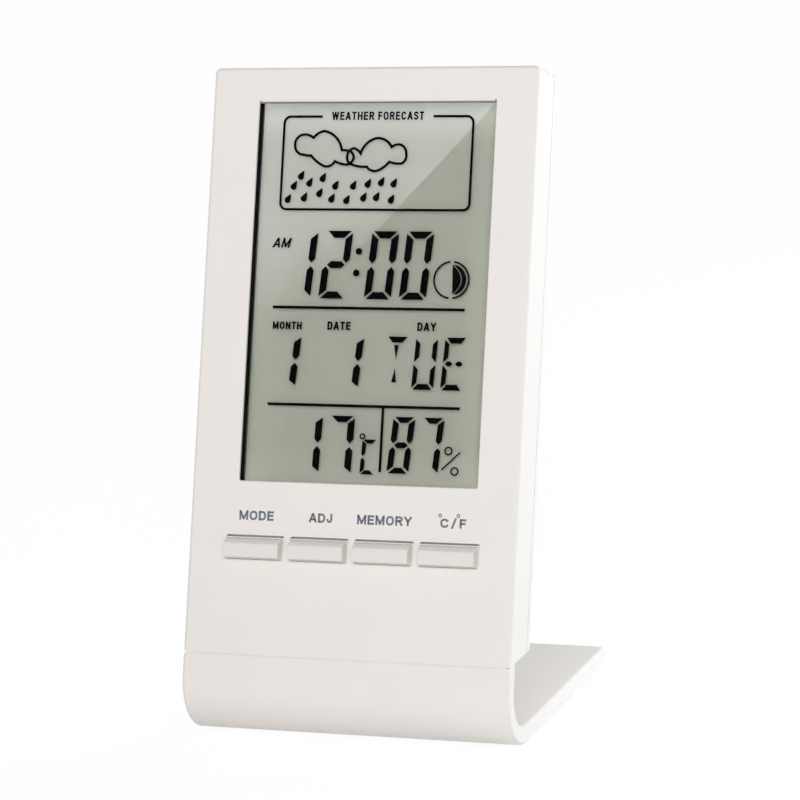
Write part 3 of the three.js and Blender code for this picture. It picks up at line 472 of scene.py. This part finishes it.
cuts = {
    "outer": 1.3, "inner": 0.6,  # a post's two corners under the upper bar, in gaps
    "bridge": 0.9, "bridgeTip": 0.65,  # the middle bar's corners and points beside a post, in gaps
    "shoulder": 1.1, "tip": 0.5,  # height and place of a post's point, as shares of the post's width
}


def segmentOutlines(cell):
    # seven bars of a cell: posts cut on the slant at the corners and pointed at the middle,
    # mirrored from one another
    width, height, post, bar, gap = (cell[key] for key in ("width", "height", "post", "bar", "gap"))
    tip, middle, shoulder = cell.get("tip", cuts["tip"]), height / 2, cuts["shoulder"] * post
    upperLeft = np.array([
        (0, height - cuts["outer"] * gap), (post, height - bar - cuts["inner"] * gap),
        (post, middle + gap + shoulder * (1 - tip)), (post * tip, middle + gap),
        (0, middle + gap + shoulder * tip),
    ])
    top = np.array([
        (gap, height), (width - gap, height), (width - post - gap, height - bar), (post + gap, height - bar),
    ])
    inner, outer = post + cuts["bridge"] * gap, post / 2 + cuts["bridgeTip"] * gap
    bridge = np.array([
        (outer, middle), (inner, middle + bar / 2), (width - inner, middle + bar / 2),
        (width - outer, middle), (width - inner, middle - bar / 2), (inner, middle - bar / 2),
    ])
    across, down = np.array([-1, 1]), np.array([1, -1])
    right, foot = np.array([width, 0]), np.array([0, height])
    return {
        "a": top, "f": upperLeft, "b": upperLeft * across + right, "e": upperLeft * down + foot,
        "c": upperLeft * -1 + right + foot, "d": top * down + foot, "g": bridge,
    }


glyphs = {
    "0": "abcdef", "1": "bc", "2": "abged", "7": "abc", "8": "abcdefg", "C": "adef", "T": "a", "U": "bcdef",
    "E": "adef",
}
timeCell = {
    "width": 5.95, "height": 14.27, "post": 1.52, "bar": 1.5, "gap": 0.37, "slant": 0.085, "base": 75.0,
}
dateCell = {
    "width": 5.12, "height": 10.8, "post": 1.5, "bar": 1.2, "gap": 0.3, "slant": 0.09, "base": 56.3,
}
dayCell = {
    "width": 4.8, "height": 10.95, "post": 1.0, "bar": 1.22, "gap": 0.32, "slant": 0.06, "base": 56.33,
    "tip": 0.1,
}
warmCell = {
    "width": 5.62, "height": 12.2, "post": 1.5, "bar": 1.32, "gap": 0.36, "slant": 0.035, "base": 38.3,
}
unitCell = {
    "width": 3.18, "height": 7.25, "post": 0.88, "bar": 0.84, "gap": 0.16, "slant": 0.05, "base": 38.47,
    "tip": 0.4,
}
dampCell = {
    "width": 4.82, "height": 11.75, "post": 1.31, "bar": 1.22, "gap": 0.36, "slant": 0.09, "base": 38.84,
}
characters = [
    ("1", -19.53, timeCell), ("2", -11.75, timeCell), ("0", -1.54, timeCell), ("0", 6.2, timeCell),
    ("1", -21.04, dateCell), ("1", -7.01, dateCell),
    ("T", 3.45, dayCell), ("U", 9.93, dayCell), ("E", 16.3, dayCell),
    ("1", -15.27, warmCell), ("7", -8.1, warmCell), ("C", -0.5, unitCell),
    ("8", 5.42, dampCell), ("7", 11.8, dampCell),
]
digits = []
for glyph, left, cell in characters:
    outlines = segmentOutlines(cell)
    for bar in glyphs[glyph]:
        lean = left + cell["slant"] * outlines[bar][:, 1]
        digits.append(displaySlab(outlines[bar] + np.column_stack([lean, np.full(len(lean), cell["base"])])))

# the colon's dots, the short middle bars of the E, and the T's stem in two wedges
marks = {
    "dots": [(-3.14, 84.99), (-3.5, 80.45)], "radius": 0.72,
    "bars": [(17.9, 61.83), (20.13, 61.84)],
    "bar": [(-0.85, 0), (-0.3, -0.52), (0.3, -0.52), (0.85, 0), (0.3, 0.52), (-0.3, 0.52)],
    "wedges": [[(5.8, 65.53), (6.72, 65.53), (6.26, 62.5)], [(6.17, 60.7), (6.5, 57.76), (5.5, 57.76)]],
}
digits += [displaySlab(circlePath(centre, marks["radius"])) for centre in marks["dots"]]
digits += [displaySlab(np.add(marks["bar"], centre)) for centre in marks["bars"]]
digits += [displaySlab(wedge) for wedge in marks["wedges"]]

lines = {
    "across": (-21.85, 20.8), "heights": (73.05, 52.62), "width": 0.6,
    "divider": 4.0, "dividerUp": (52.32, 39.05), "dividerWidth": 0.56,
}
digits += [displayLine([(end, up) for end in lines["across"]], lines["width"]) for up in lines["heights"]]
digits.append(displayLine([(lines["divider"], up) for up in lines["dividerUp"]], lines["dividerWidth"]))
meshPiece("displayDigits", digits, made["crystalInk"])

border = {
    "left": -21.4, "right": 20.68, "low": 93.75, "high": 113.42, "radius": 1.4, "gap": (-12.84, 11.87),
    "width": 0.52, "steps": 8,
}


def forecastBorder(look):
    # a rectangle with a quarter circle at each corner, and a gap in its upper side for the heading
    radius, high = look["radius"], look["high"]
    left, right = look["left"] + radius, look["right"] - radius
    low, top = look["low"] + radius, high - radius
    corners = [((left, top), 90), ((left, low), 180), ((right, low), 270), ((right, top), 0)]
    arcs = [arcPath(centre, radius, start, start + 90, look["steps"]) for centre, start in corners]
    return displayLine(np.vstack([[(look["gap"][0], high)], *arcs, [(look["gap"][1], high)]]), look["width"])


cloud = {
    "line": 0.54,
    "left": {
        "anchors": [
            (-16.7, 105.35), (-18.75, 107.5), (-16.95, 109.6), (-14.65, 108.9), (-12.3, 110.35),
            (-8.15, 106.3), (-6.6, 106.2), (-5.4, 104.8), (-6.7, 103.25), (-9.6, 103.95), (-11.9, 102.9),
            (-15.0, 105.15),
        ],
        "bulge": [0.45, 0.4, 0.2, 0.2, 0.32, 0.02, 0.3, 0.3, 0.12, 0.35, 0.12, 0.1],
    },
    "right": {
        "anchors": [
            (-6.9, 104.9), (-5.4, 106.7), (-3.9, 105.6), (-0.3, 108.85), (2.95, 106.95), (4.75, 107.5),
            (6.25, 105.5), (5.3, 103.5), (2.55, 103.85), (-0.1, 101.95), (-2.4, 102.8), (-6.1, 103.4),
        ],
        "bulge": [0.4, 0.15, 0.3, 0.28, 0.2, 0.35, 0.35, 0.12, 0.15, 0.3, 0.12, 0.3],
    },
}
moon = {
    "centre": (17.58, 79.24), "radius": 3.8, "line": 0.38, "sweep": 168,  # each half of the ring, in degrees
    "disc": 3.24, "edge": 17.72, "bow": 2.05, "parting": 0.13, "trim": 0.02, "steps": 24,
}


def moonPhase(look):
    # a ring in two halves, and in it a half disc that a thin parabolic bow parts in two
    (x, up), edge = look["centre"], look["edge"]
    sweep = look["sweep"] / 2
    halves = [
        arcPath(look["centre"], look["radius"], middle - sweep, middle + sweep, look["steps"])
        for middle in (0, 180)
    ]
    reach = math.sqrt(look["disc"] ** 2 - (edge - x) ** 2)
    height = np.linspace(-reach, reach, look["steps"] + 1)
    rim = x + np.sqrt(look["disc"] ** 2 - height ** 2)
    bow = edge + look["bow"] * (1 - (height / reach) ** 2)
    nearBow = np.maximum(bow - look["parting"], edge + look["trim"])
    pastBow = np.minimum(bow + look["parting"], rim - look["trim"])
    near, past, outer = [np.column_stack([side, up + height]) for side in (nearBow, pastBow, rim)]
    half = np.vstack([[(edge, up + reach)], near[:0:-1]])
    crescent = np.vstack([past[1:], outer[:0:-1]])
    return [*[displayLine(path, look["line"]) for path in halves], displaySlab(half), displaySlab(crescent)]


drop = {
    "length": 0.76, "point": 0.6, "width": 0.79, "taper": 0.7, "points": 20,
    "lean": math.radians(62), "low": 0.35,
    "places": [
        (-17.0, 101.1), (-18.55, 98.95), (-19.75, 96.15), (-15.05, 99.65), (-16.1, 96.5), (-12.1, 100.65),
        (-12.7, 97.45), (-9.2, 99.05), (-9.9, 96.3), (-5.2, 99.05), (-6.55, 96.0), (-1.95, 99.45),
        (-2.8, 96.55), (1.0, 99.8), (0.05, 96.65), (3.8, 99.55), (3.4, 96.15),
    ],
}


def rainDrop(look, centre):
    # a circle whose one end is drawn out by the cube of its pull and narrowed by the square,
    # and which leans to the right
    angle = np.radians(np.linspace(0, 360, look["points"], endpoint=False))
    pull = (1 + np.cos(angle)) / 2  # one at the point, none at the far end
    along = look["length"] * np.cos(angle) + look["point"] * pull ** 3
    side = look["width"] * np.sin(angle) * (1 - look["taper"] * pull ** 2)
    cosine, sine = math.cos(look["lean"]), math.sin(look["lean"])
    return displaySlab(np.column_stack([
        centre[0] + along * cosine - side * sine, centre[1] - look["low"] + along * sine + side * cosine,
    ]))


# the rings of the degree and percent signs, and the percent sign's slash
fine = {
    "line": 0.3, "rings": [((-0.24, 46.35), 0.5), ((18.81, 43.83), 0.75), ((20.33, 39.67), 0.75)],
    "slash": [(21.35, 43.6), (17.45, 39.88)],
}
icons = [
    forecastBorder(border),
    *[displayLine(bulgedPath(**cloud[side]), cloud["line"], True) for side in ("left", "right")],
    *moonPhase(moon),
    *[rainDrop(drop, centre) for centre in drop["places"]],
    *[displayLine(circlePath(*ring), fine["line"], True) for ring in fine["rings"]],
    displayLine(fine["slash"], fine["line"]),
]
meshPiece("displaySymbols", icons, made["crystalInk"])


def makeLetters():
    # width for a height of one, and the strokes' middle lines in a square that is stretched to that width
    left, right, top, low = [(0, 0), (0, 1)], [(1, 0), (1, 1)], [(0, 1), (1, 1)], [(0, 0), (1, 0)]
    bowl = np.vstack([[(0, 1)], arcPath((0.55, 0.75), (0.45, 0.25), 90, -90), [(0, 0.5)]])
    belly = np.vstack([[(0, 1)], arcPath((0.42, 0.5), (0.58, 0.5), 90, -90, 16, 0.8), [(0, 0)]])
    bend = np.vstack([
        arcPath((0.5, 0.76), (0.5, 0.24), 25, 270), arcPath((0.5, 0.26), (0.5, 0.26), 90, -155)[1:],
    ])
    return {
        "A": (0.74, [[(0, 0), (0.45, 1)], [(1, 0), (0.55, 1)], [(0.17, 0.28), (0.83, 0.28)]]),
        "C": (0.72, [arcPath((0.5, 0.5), (0.5, 0.5), 38, 322, 20, 0.85)]),
        "D": (0.7, [left, belly]),
        "E": (0.62, [left, top, low, [(0, 0.52), (0.9, 0.52)]]),
        "F": (0.58, [left, top, [(0, 0.5), (0.85, 0.5)]]),
        "H": (0.7, [left, right, [(0, 0.5), (1, 0.5)]]),
        "J": (0.54, [np.vstack([[(1, 1)], arcPath((0.5, 0.3), (0.5, 0.3), 0, -175)])]),
        "M": (0.86, [left, right, [(0.02, 1), (0.5, 0.08)], [(0.98, 1), (0.5, 0.08)]]),
        "N": (0.7, [left, right, [(0.02, 1), (0.98, 0)]]),
        "O": (0.76, [arcPath((0.5, 0.5), (0.5, 0.5), 90, 450, 28, 0.85)]),
        "R": (0.7, [left, bowl, [(0.5, 0.5), (1, 0)]]),
        "S": (0.66, [bend]),
        "T": (0.64, [top, [(0.5, 0), (0.5, 1)]]),
        "W": (1.0, [[(0, 1), (0.24, 0)], [(0.24, 0), (0.5, 1)], [(0.5, 1), (0.76, 0)], [(0.76, 0), (1, 1)]]),
        "Y": (0.72, [[(0.5, 0), (0.5, 0.45)], [(0.5, 0.45), (0, 1)], [(0.5, 0.45), (1, 1)]]),
    }


letters = makeLetters()


def wordParts(text, box, depths, stroke, gap, slant=0):
    # letters in a row across a box: each stroke is a ribbon whose ends go on by half its width
    (left, right), (low, high) = box
    height = high - low
    widths = np.array([letters[letter][0] for letter in text])
    space = gap * height
    widths = widths * (right - left - slant * height - space * (len(text) - 1)) / widths.sum()
    starts = left + np.cumsum([0, *(widths[:-1] + space)])
    parts = []
    for letter, start, width in zip(text, starts, widths):
        size, corner = (width - stroke, height - stroke), (start + stroke / 2, low + stroke / 2)
        for path in letters[letter][1]:
            path = np.asarray(path, float) * size + corner
            ends = unit(np.array([path[0] - path[1], path[-1] - path[-2]])) * stroke / 2
            if np.linalg.norm(path[0] - path[-1]) > stroke / 4:  # a round letter's ends meet, and stay
                path[0], path[-1] = path[0] + ends[0], path[-1] + ends[1]
            path[:, 0] += slant * (path[:, 1] - low)
            parts.append(ribbon(path, stroke, depths))
    return parts


printed = {
    "gap": 0.16,  # between letters, as a share of their height
    "words": [  # text, its ends across and up, stroke and slant
        ("WEATHER", (-10.75, -1.3), (112.68, 114.42), 0.33, 0),
        ("FORECAST", (-0.4, 9.75), (112.68, 114.42), 0.33, 0),
        ("AM", (-22.65, -18.3), (85.62, 87.66), 0.38, 0.28),
        ("MONTH", (-21.6, -15.1), (68.4, 70.0), 0.33, 0),
        ("DATE", (-9.3, -4.15), (68.45, 70.18), 0.36, 0),
        ("DAY", (10.65, 14.75), (68.55, 70.28), 0.36, 0),
    ],
}
words = []
for text, across, up, stroke, slant in printed["words"]:
    box = np.array([across, up]) + np.reshape(display["shift"], (2, 1))
    words += wordParts(text, box, display["depths"], stroke, printed["gap"], slant)
meshPiece("displayWords", words, made["crystalInk"])

print("labels over the keys")
label = {
    "depths": (-0.03, 0.02), "stroke": 0.44, "gap": 0.15,
    "words": [
        ("MODE", (-24.9, -17.17), (27.88, 29.85)), ("ADJ", (-9.3, -4.15), (27.88, 29.8)),
        ("MEMORY", (1.35, 13.3), (27.86, 29.82)), ("C", (19.5, 21.35), (27.82, 29.72)),
        ("F", (23.7, 25.1), (27.78, 29.72)),
    ],
    "slash": [(22.85, 29.85), (22.05, 27.7)],
    "degrees": [(19.42, 30.3), (23.35, 30.35)], "ring": 0.3, "line": 0.22, "points": 12,
}
labels = []
for text, across, up in label["words"]:
    labels += wordParts(text, (across, up), label["depths"], label["stroke"], label["gap"])
labels.append(ribbon(label["slash"], label["stroke"], label["depths"]))
for centre in label["degrees"]:
    ring = circlePath(centre, label["ring"], label["points"])
    labels.append(ribbon(ring, label["line"], label["depths"], True))
meshPiece("keyLabels", labels, made["labelInk"])

print("edges round the keys, the seam and the lens")
skirt = {
    "reach": 0.24, "inside": 0.1, "depths": (0.3, 0.75), "width": 12.3, "height": 4.15, "up": 22.075,
    "middles": {"mode": -21.105, "adjust": -6.835, "memory": 7.435, "unit": 21.705},
}
for key, middle in skirt["middles"].items():
    # the key's outline as a closed path, swept by a bar that fills the slot but for a hair
    half = (np.array([skirt["width"], skirt["height"]]) + skirt["reach"] - skirt["inside"]) / 2
    outline = np.array([(-1, -1), (1, -1), (1, 1), (-1, 1)]) * half + (middle, skirt["up"])
    ring = ribbon(outline, skirt["reach"] + skirt["inside"], skirt["depths"], True)
    meshPiece(f"{key}KeySkirt", [ring], made["keyPlastic"], f"{key}_key")

seam = {"across": (-35.2, 35.2), "up": (-0.33, 0.2), "depths": (0.2, 0.5)}
lip = {
    "across": (-25.15, 26.75), "up": 116.3, "round": 0.45, "steps": 8,
    "front": 0.1, "depth": 0.62, "cover": 0.2,  # how it goes on inside the rim
}
# a grey strip just in front of the lens along its upper edge: painted shade of the window's rim
lensBorder = {"across": (-25.6, 27.2), "up": (115.6, 116.6), "depths": (0.82, 0.88)}


def straightBar(look):
    # a rectangle carried straight across, halfway between its lower and upper edge
    middle = np.mean(look["up"])
    return ribbon([(end, middle) for end in look["across"]], np.ptp(look["up"]), look["depths"])


def lipBar(look):
    # the rounding of the window's upper edge: a quarter circle in depth and height, carried from end to end
    turn = np.radians(np.linspace(0, 90, look["steps"] + 1))
    low, high = look["up"] - look["round"], look["up"] + look["cover"]
    depth = np.append(look["round"] * (1 - np.cos(turn)), [look["depth"], look["depth"], look["front"]])
    up = np.append(look["up"] - look["round"] * np.sin(turn), [low, high, high])
    points, faces = prism([np.column_stack([np.full(len(up), end), depth, up]) for end in look["across"]])
    return points, [face[::-1] for face in faces]  # this profile runs clockwise, seen from its first end


meshPiece("seamLip", [straightBar(seam)], made["shellPlastic"])
meshPiece("windowLip", [lipBar(lip)], made["shellPlastic"])
# the painted shade strip under the window's upper rim
meshPiece("lensBorder", [straightBar(lensBorder)], made["borderInk"])

print("camera, floor and light")
camera = {
    "place": Vector((0.256663, -0.678373, 0.227639)), "azimuth": math.radians(20.465),
    "elevation": math.radians(12.539), "roll": math.radians(-3.143), "lens": 158.459, "sensor": 36,
    "clip": (0.01, 20),
}


def makeCamera(look):
    # looks level by its azimuth, down by its elevation, and is then turned about that line by its roll
    azimuth, elevation, roll = look["azimuth"], look["elevation"], look["roll"]
    level, down = math.cos(elevation), math.sin(elevation)
    ahead = Vector((-math.sin(azimuth) * level, math.cos(azimuth) * level, -down))
    right = Vector((math.cos(azimuth), math.sin(azimuth), 0))
    up = right.cross(ahead)
    turnedRight = math.cos(roll) * right + math.sin(roll) * up
    turnedUp = -math.sin(roll) * right + math.cos(roll) * up
    eye = bpy.data.objects.new("camera", bpy.data.cameras.new("camera"))
    eye.data.lens, eye.data.sensor_width = look["lens"], look["sensor"]
    eye.data.clip_start, eye.data.clip_end = look["clip"]
    turned = Matrix((turnedRight, turnedUp, -ahead)).transposed().to_4x4()
    eye.matrix_world = Matrix.Translation(look["place"]) @ turned
    scene.collection.objects.link(eye)
    scene.camera = eye


makeCamera(camera)
backdrop = {
    "white": 1.0, "light": 0.295,  # what the rays see, and what lights the object
    "floor": 1.03, "albedo": 0.93, "roughness": 0.9, "shadow": 0.08, "size": 3.0,
}


def stageSheet(name, corners, material):
    # a flat sheet between four corners
    mesh = bpy.data.meshes.new(name)
    mesh.from_pydata(np.asarray(corners, float).tolist(), [], [(0, 1, 2, 3)])
    mesh.materials.append(material)
    sheet = bpy.data.objects.new(name, mesh)
    scene.collection.objects.link(sheet)
    return sheet


def whiteRays(tree):
    # one for the rays that see the background: from the camera, in a reflection or through glass
    rays = tree.nodes.new("ShaderNodeLightPath")
    seen = rays.outputs["Is Camera Ray"]
    for name in ("Is Glossy Ray", "Is Transmission Ray"):
        larger = tree.nodes.new("ShaderNodeMath")
        larger.operation = "MAXIMUM"
        tree.links.new(seen, larger.inputs[0])
        tree.links.new(rays.outputs[name], larger.inputs[1])
        seen = larger.outputs[0]
    return seen


def makeFloor(look):
    # plain white to the rays that see it, but for a share of the lit floor, which carries the object's shadow
    material, tree, surface, output = newMaterial("floorWhite")
    surface.inputs["Base Color"].default_value = (*[look["albedo"]] * 3, 1)
    surface.inputs["Roughness"].default_value = look["roughness"]
    surface.inputs["Specular IOR Level"].default_value = 0.0
    glow = tree.nodes.new("ShaderNodeEmission")
    glow.inputs["Strength"].default_value = look["floor"]
    mix, pick = tree.nodes.new("ShaderNodeMixShader"), tree.nodes.new("ShaderNodeMath")
    pick.operation, pick.inputs[1].default_value = "MULTIPLY", 1 - look["shadow"]
    tree.links.new(whiteRays(tree), pick.inputs[0])
    tree.links.new(pick.outputs[0], mix.inputs["Fac"])
    tree.links.new(surface.outputs["BSDF"], mix.inputs[1])
    tree.links.new(glow.outputs["Emission"], mix.inputs[2])
    tree.links.new(mix.outputs["Shader"], output.inputs["Surface"])
    size = look["size"]
    stageSheet("floor", [(-size, -size, 0), (size, -size, 0), (size, size, 0), (-size, size, 0)], material)


def makeWorld(look):
    # white to the rays that see it, and dimmer as light on the object
    world = bpy.data.worlds.new("studio")
    world.use_nodes = True
    scene.world = world
    tree = world.node_tree
    tree.nodes.clear()
    seen, lit = tree.nodes.new("ShaderNodeBackground"), tree.nodes.new("ShaderNodeBackground")
    seen.inputs["Strength"].default_value = look["white"]
    lit.inputs["Strength"].default_value = look["light"]
    seen.inputs["Color"].default_value = lit.inputs["Color"].default_value = (1, 1, 1, 1)
    mix, output = tree.nodes.new("ShaderNodeMixShader"), tree.nodes.new("ShaderNodeOutputWorld")
    tree.links.new(whiteRays(tree), mix.inputs["Fac"])
    tree.links.new(lit.outputs["Background"], mix.inputs[1])
    tree.links.new(seen.outputs["Background"], mix.inputs[2])
    tree.links.new(mix.outputs["Shader"], output.inputs["Surface"])


makeFloor(backdrop)
makeWorld(backdrop)

lamps = {
    "frontKey": {"place": (0.3, -1.08, 0.54), "size": 0.7, "power": 9.0, "colour": (1.0, 1.0, 1.0)},
    "rightKey": {"place": (0.44, 0.42, 0.16), "size": 0.3, "power": 3.0, "colour": (0.87, 0.95, 1.0)},
    "backFill": {"place": (-0.3, 1.95, 0.42), "size": 0.8, "power": 5.0, "colour": (1.0, 1.0, 1.0)},
}
lampAim = Vector((0, 0, 0.07))  # about the case's middle


def hangLamp(name, lamp, place):
    # neither the camera nor mirrors and panes see a lamp itself
    holder = bpy.data.objects.new(name, lamp)
    holder.location = place
    holder.visible_camera = holder.visible_glossy = holder.visible_transmission = False
    scene.collection.objects.link(holder)
    return holder


for name, look in lamps.items():
    lamp = bpy.data.lights.new(name, "AREA")
    lamp.size, lamp.energy, lamp.color = look["size"], look["power"], look["colour"]
    holder = hangLamp(name, lamp, look["place"])
    holder.rotation_mode = "QUATERNION"
    holder.rotation_quaternion = (lampAim - holder.location).to_track_quat("-Z", "Y")

# What the lens mirrors towards the camera: a black card, as large as the window looks from there
card = {"lens": 0.9, "distance": -520, "window": ((-27.5, 30.0), (33.0, 119.0))}


def makeCard(look):
    # its corners lie where the camera's mirror image in the lens looks out through the window's corners
    material, _, surface, _ = newMaterial("cardBlack")
    surface.inputs["Base Color"].default_value = (0, 0, 0, 1)
    surface.inputs["Specular IOR Level"].default_value = 0.0
    (left, right), (low, high) = look["window"]
    corners = toWorld([(across, look["lens"], up)
                       for across, up in ((left, low), (right, low), (right, high), (left, high))])
    normal = np.array([0, -leanCos, leanSin])
    onLens, onCard = toWorld([(0, look["lens"], 0), (0, look["distance"], 0)])
    eye = np.array(camera["place"])
    mirrored = eye - 2 * np.dot(eye - onLens, normal) * normal
    reach = np.dot(onCard - mirrored, normal) / ((corners - mirrored) @ normal)
    sheet = stageSheet("mirroredCard", mirrored + (corners - mirrored) * reach[:, None], material)
    sheet.visible_camera = sheet.visible_diffuse = sheet.visible_shadow = False


makeCard(card)

# A projector at the camera's place lights the display's backing alone: evenly, more along the window's
# edges, where the case shades it, and most above a straight slanting line, which is the glare that
# crosses the display
projector = {
    "power": 21.6, "depth": 5.3, "fill": 0.1, "window": ((-25.6, 27.2), (36.0, 115.6)),
    "rims": {"low": 0.22, "right": 0.2, "high": 0.4, "left": 0.17}, "rimReach": (9.0, 0.5),
    "glare": 0.39, "cool": (1.0, 0.97, 1.19), "edge": ((25.31, 116.25), (3.51, 92.77)), "soft": 0.1,
    "dark": ((-23.6, 61.5), (6.4, 86.5)), "full": ((-23.6, 87.4), (6.4, 99.4)),
}


def makeProjector(look):
    lamp = bpy.data.lights.new("displayProjector", "POINT")
    lamp.energy, lamp.shadow_soft_size = look["power"], 0.0
    lamp.use_nodes = True
    tree = lamp.node_tree
    tree.nodes.clear()
    add, link = tree.nodes.new, tree.links.new
    direction = add("ShaderNodeTexCoord").outputs["Normal"]
    eye = np.array(camera["place"])
    (left, right), (low, high) = look["window"]
    centre = toWorld([(0, look["depth"], (low + high) / 2)])[0]
    scale = np.linalg.norm(centre - eye) * case["perMetre"]

    def pastLine(first, second):
        # how far to the left of a line on the backing a ray lands, in millimetres,
        # by the plane through lamp and line
        ends = toWorld([(across, look["depth"], up) for across, up in (first, second)]) - eye
        across = np.cross(ends[1], ends[0])
        dot = add("ShaderNodeVectorMath")
        dot.operation = "DOT_PRODUCT"
        dot.inputs[1].default_value = across / np.linalg.norm(across) * scale
        link(direction, dot.inputs[0])
        return dot.outputs["Value"]

    def ramp(value, start, end, top):
        node = add("ShaderNodeMapRange")
        node.interpolation_type = "SMOOTHSTEP"
        node.inputs["From Min"].default_value, node.inputs["From Max"].default_value = start, end
        node.inputs["To Max"].default_value = top
        link(value, node.inputs["Value"])
        return node.outputs["Result"]

    def combine(operation, first, second):
        node = add("ShaderNodeMath")
        node.operation = operation
        link(first, node.inputs[0])
        link(second, node.inputs[1])
        return node.outputs[0]

    # the glare ends sharply at its edge, and fades out from one line to another
    # by a ray's share of the way between them
    edge = ramp(pastLine(*look["edge"]), look["soft"], -look["soft"], 1)
    pastDark, pastFull = pastLine(*look["dark"]), pastLine(*look["full"])
    share = combine("DIVIDE", pastDark, combine("SUBTRACT", pastDark, pastFull))
    glare = combine("MULTIPLY", edge, ramp(share, 0, 1, 1))
    level = add("ShaderNodeMath")
    level.operation = "MULTIPLY_ADD"
    level.inputs[1].default_value, level.inputs[2].default_value = look["glare"], look["fill"]
    link(glare, level.inputs[0])
    strength = level.outputs[0]
    ring = [(left, low), (right, low), (right, high), (left, high)]
    for first, second, rim in zip(ring, ring[1:] + ring[:1], look["rims"].values()):
        strength = combine("ADD", strength, ramp(pastLine(first, second), *look["rimReach"], rim))
    tint = add("ShaderNodeMix")
    tint.data_type = "RGBA"
    tint.inputs["A"].default_value, tint.inputs["B"].default_value = (1, 1, 1, 1), (*look["cool"], 1)
    link(glare, tint.inputs["Factor"])
    glow, output = add("ShaderNodeEmission"), add("ShaderNodeOutputLight")
    link(tint.outputs["Result"], glow.inputs["Color"])
    link(strength, glow.inputs["Strength"])
    link(glow.outputs["Emission"], output.inputs["Surface"])
    holder = hangLamp("displayProjector", lamp, camera["place"])
    lit = bpy.data.collections.new("displayLight")
    lit.objects.link(frame["nodes"]["lcd_reflector"])
    holder.light_linking.receiver_collection = holder.light_linking.blocker_collection = lit


makeProjector(projector)
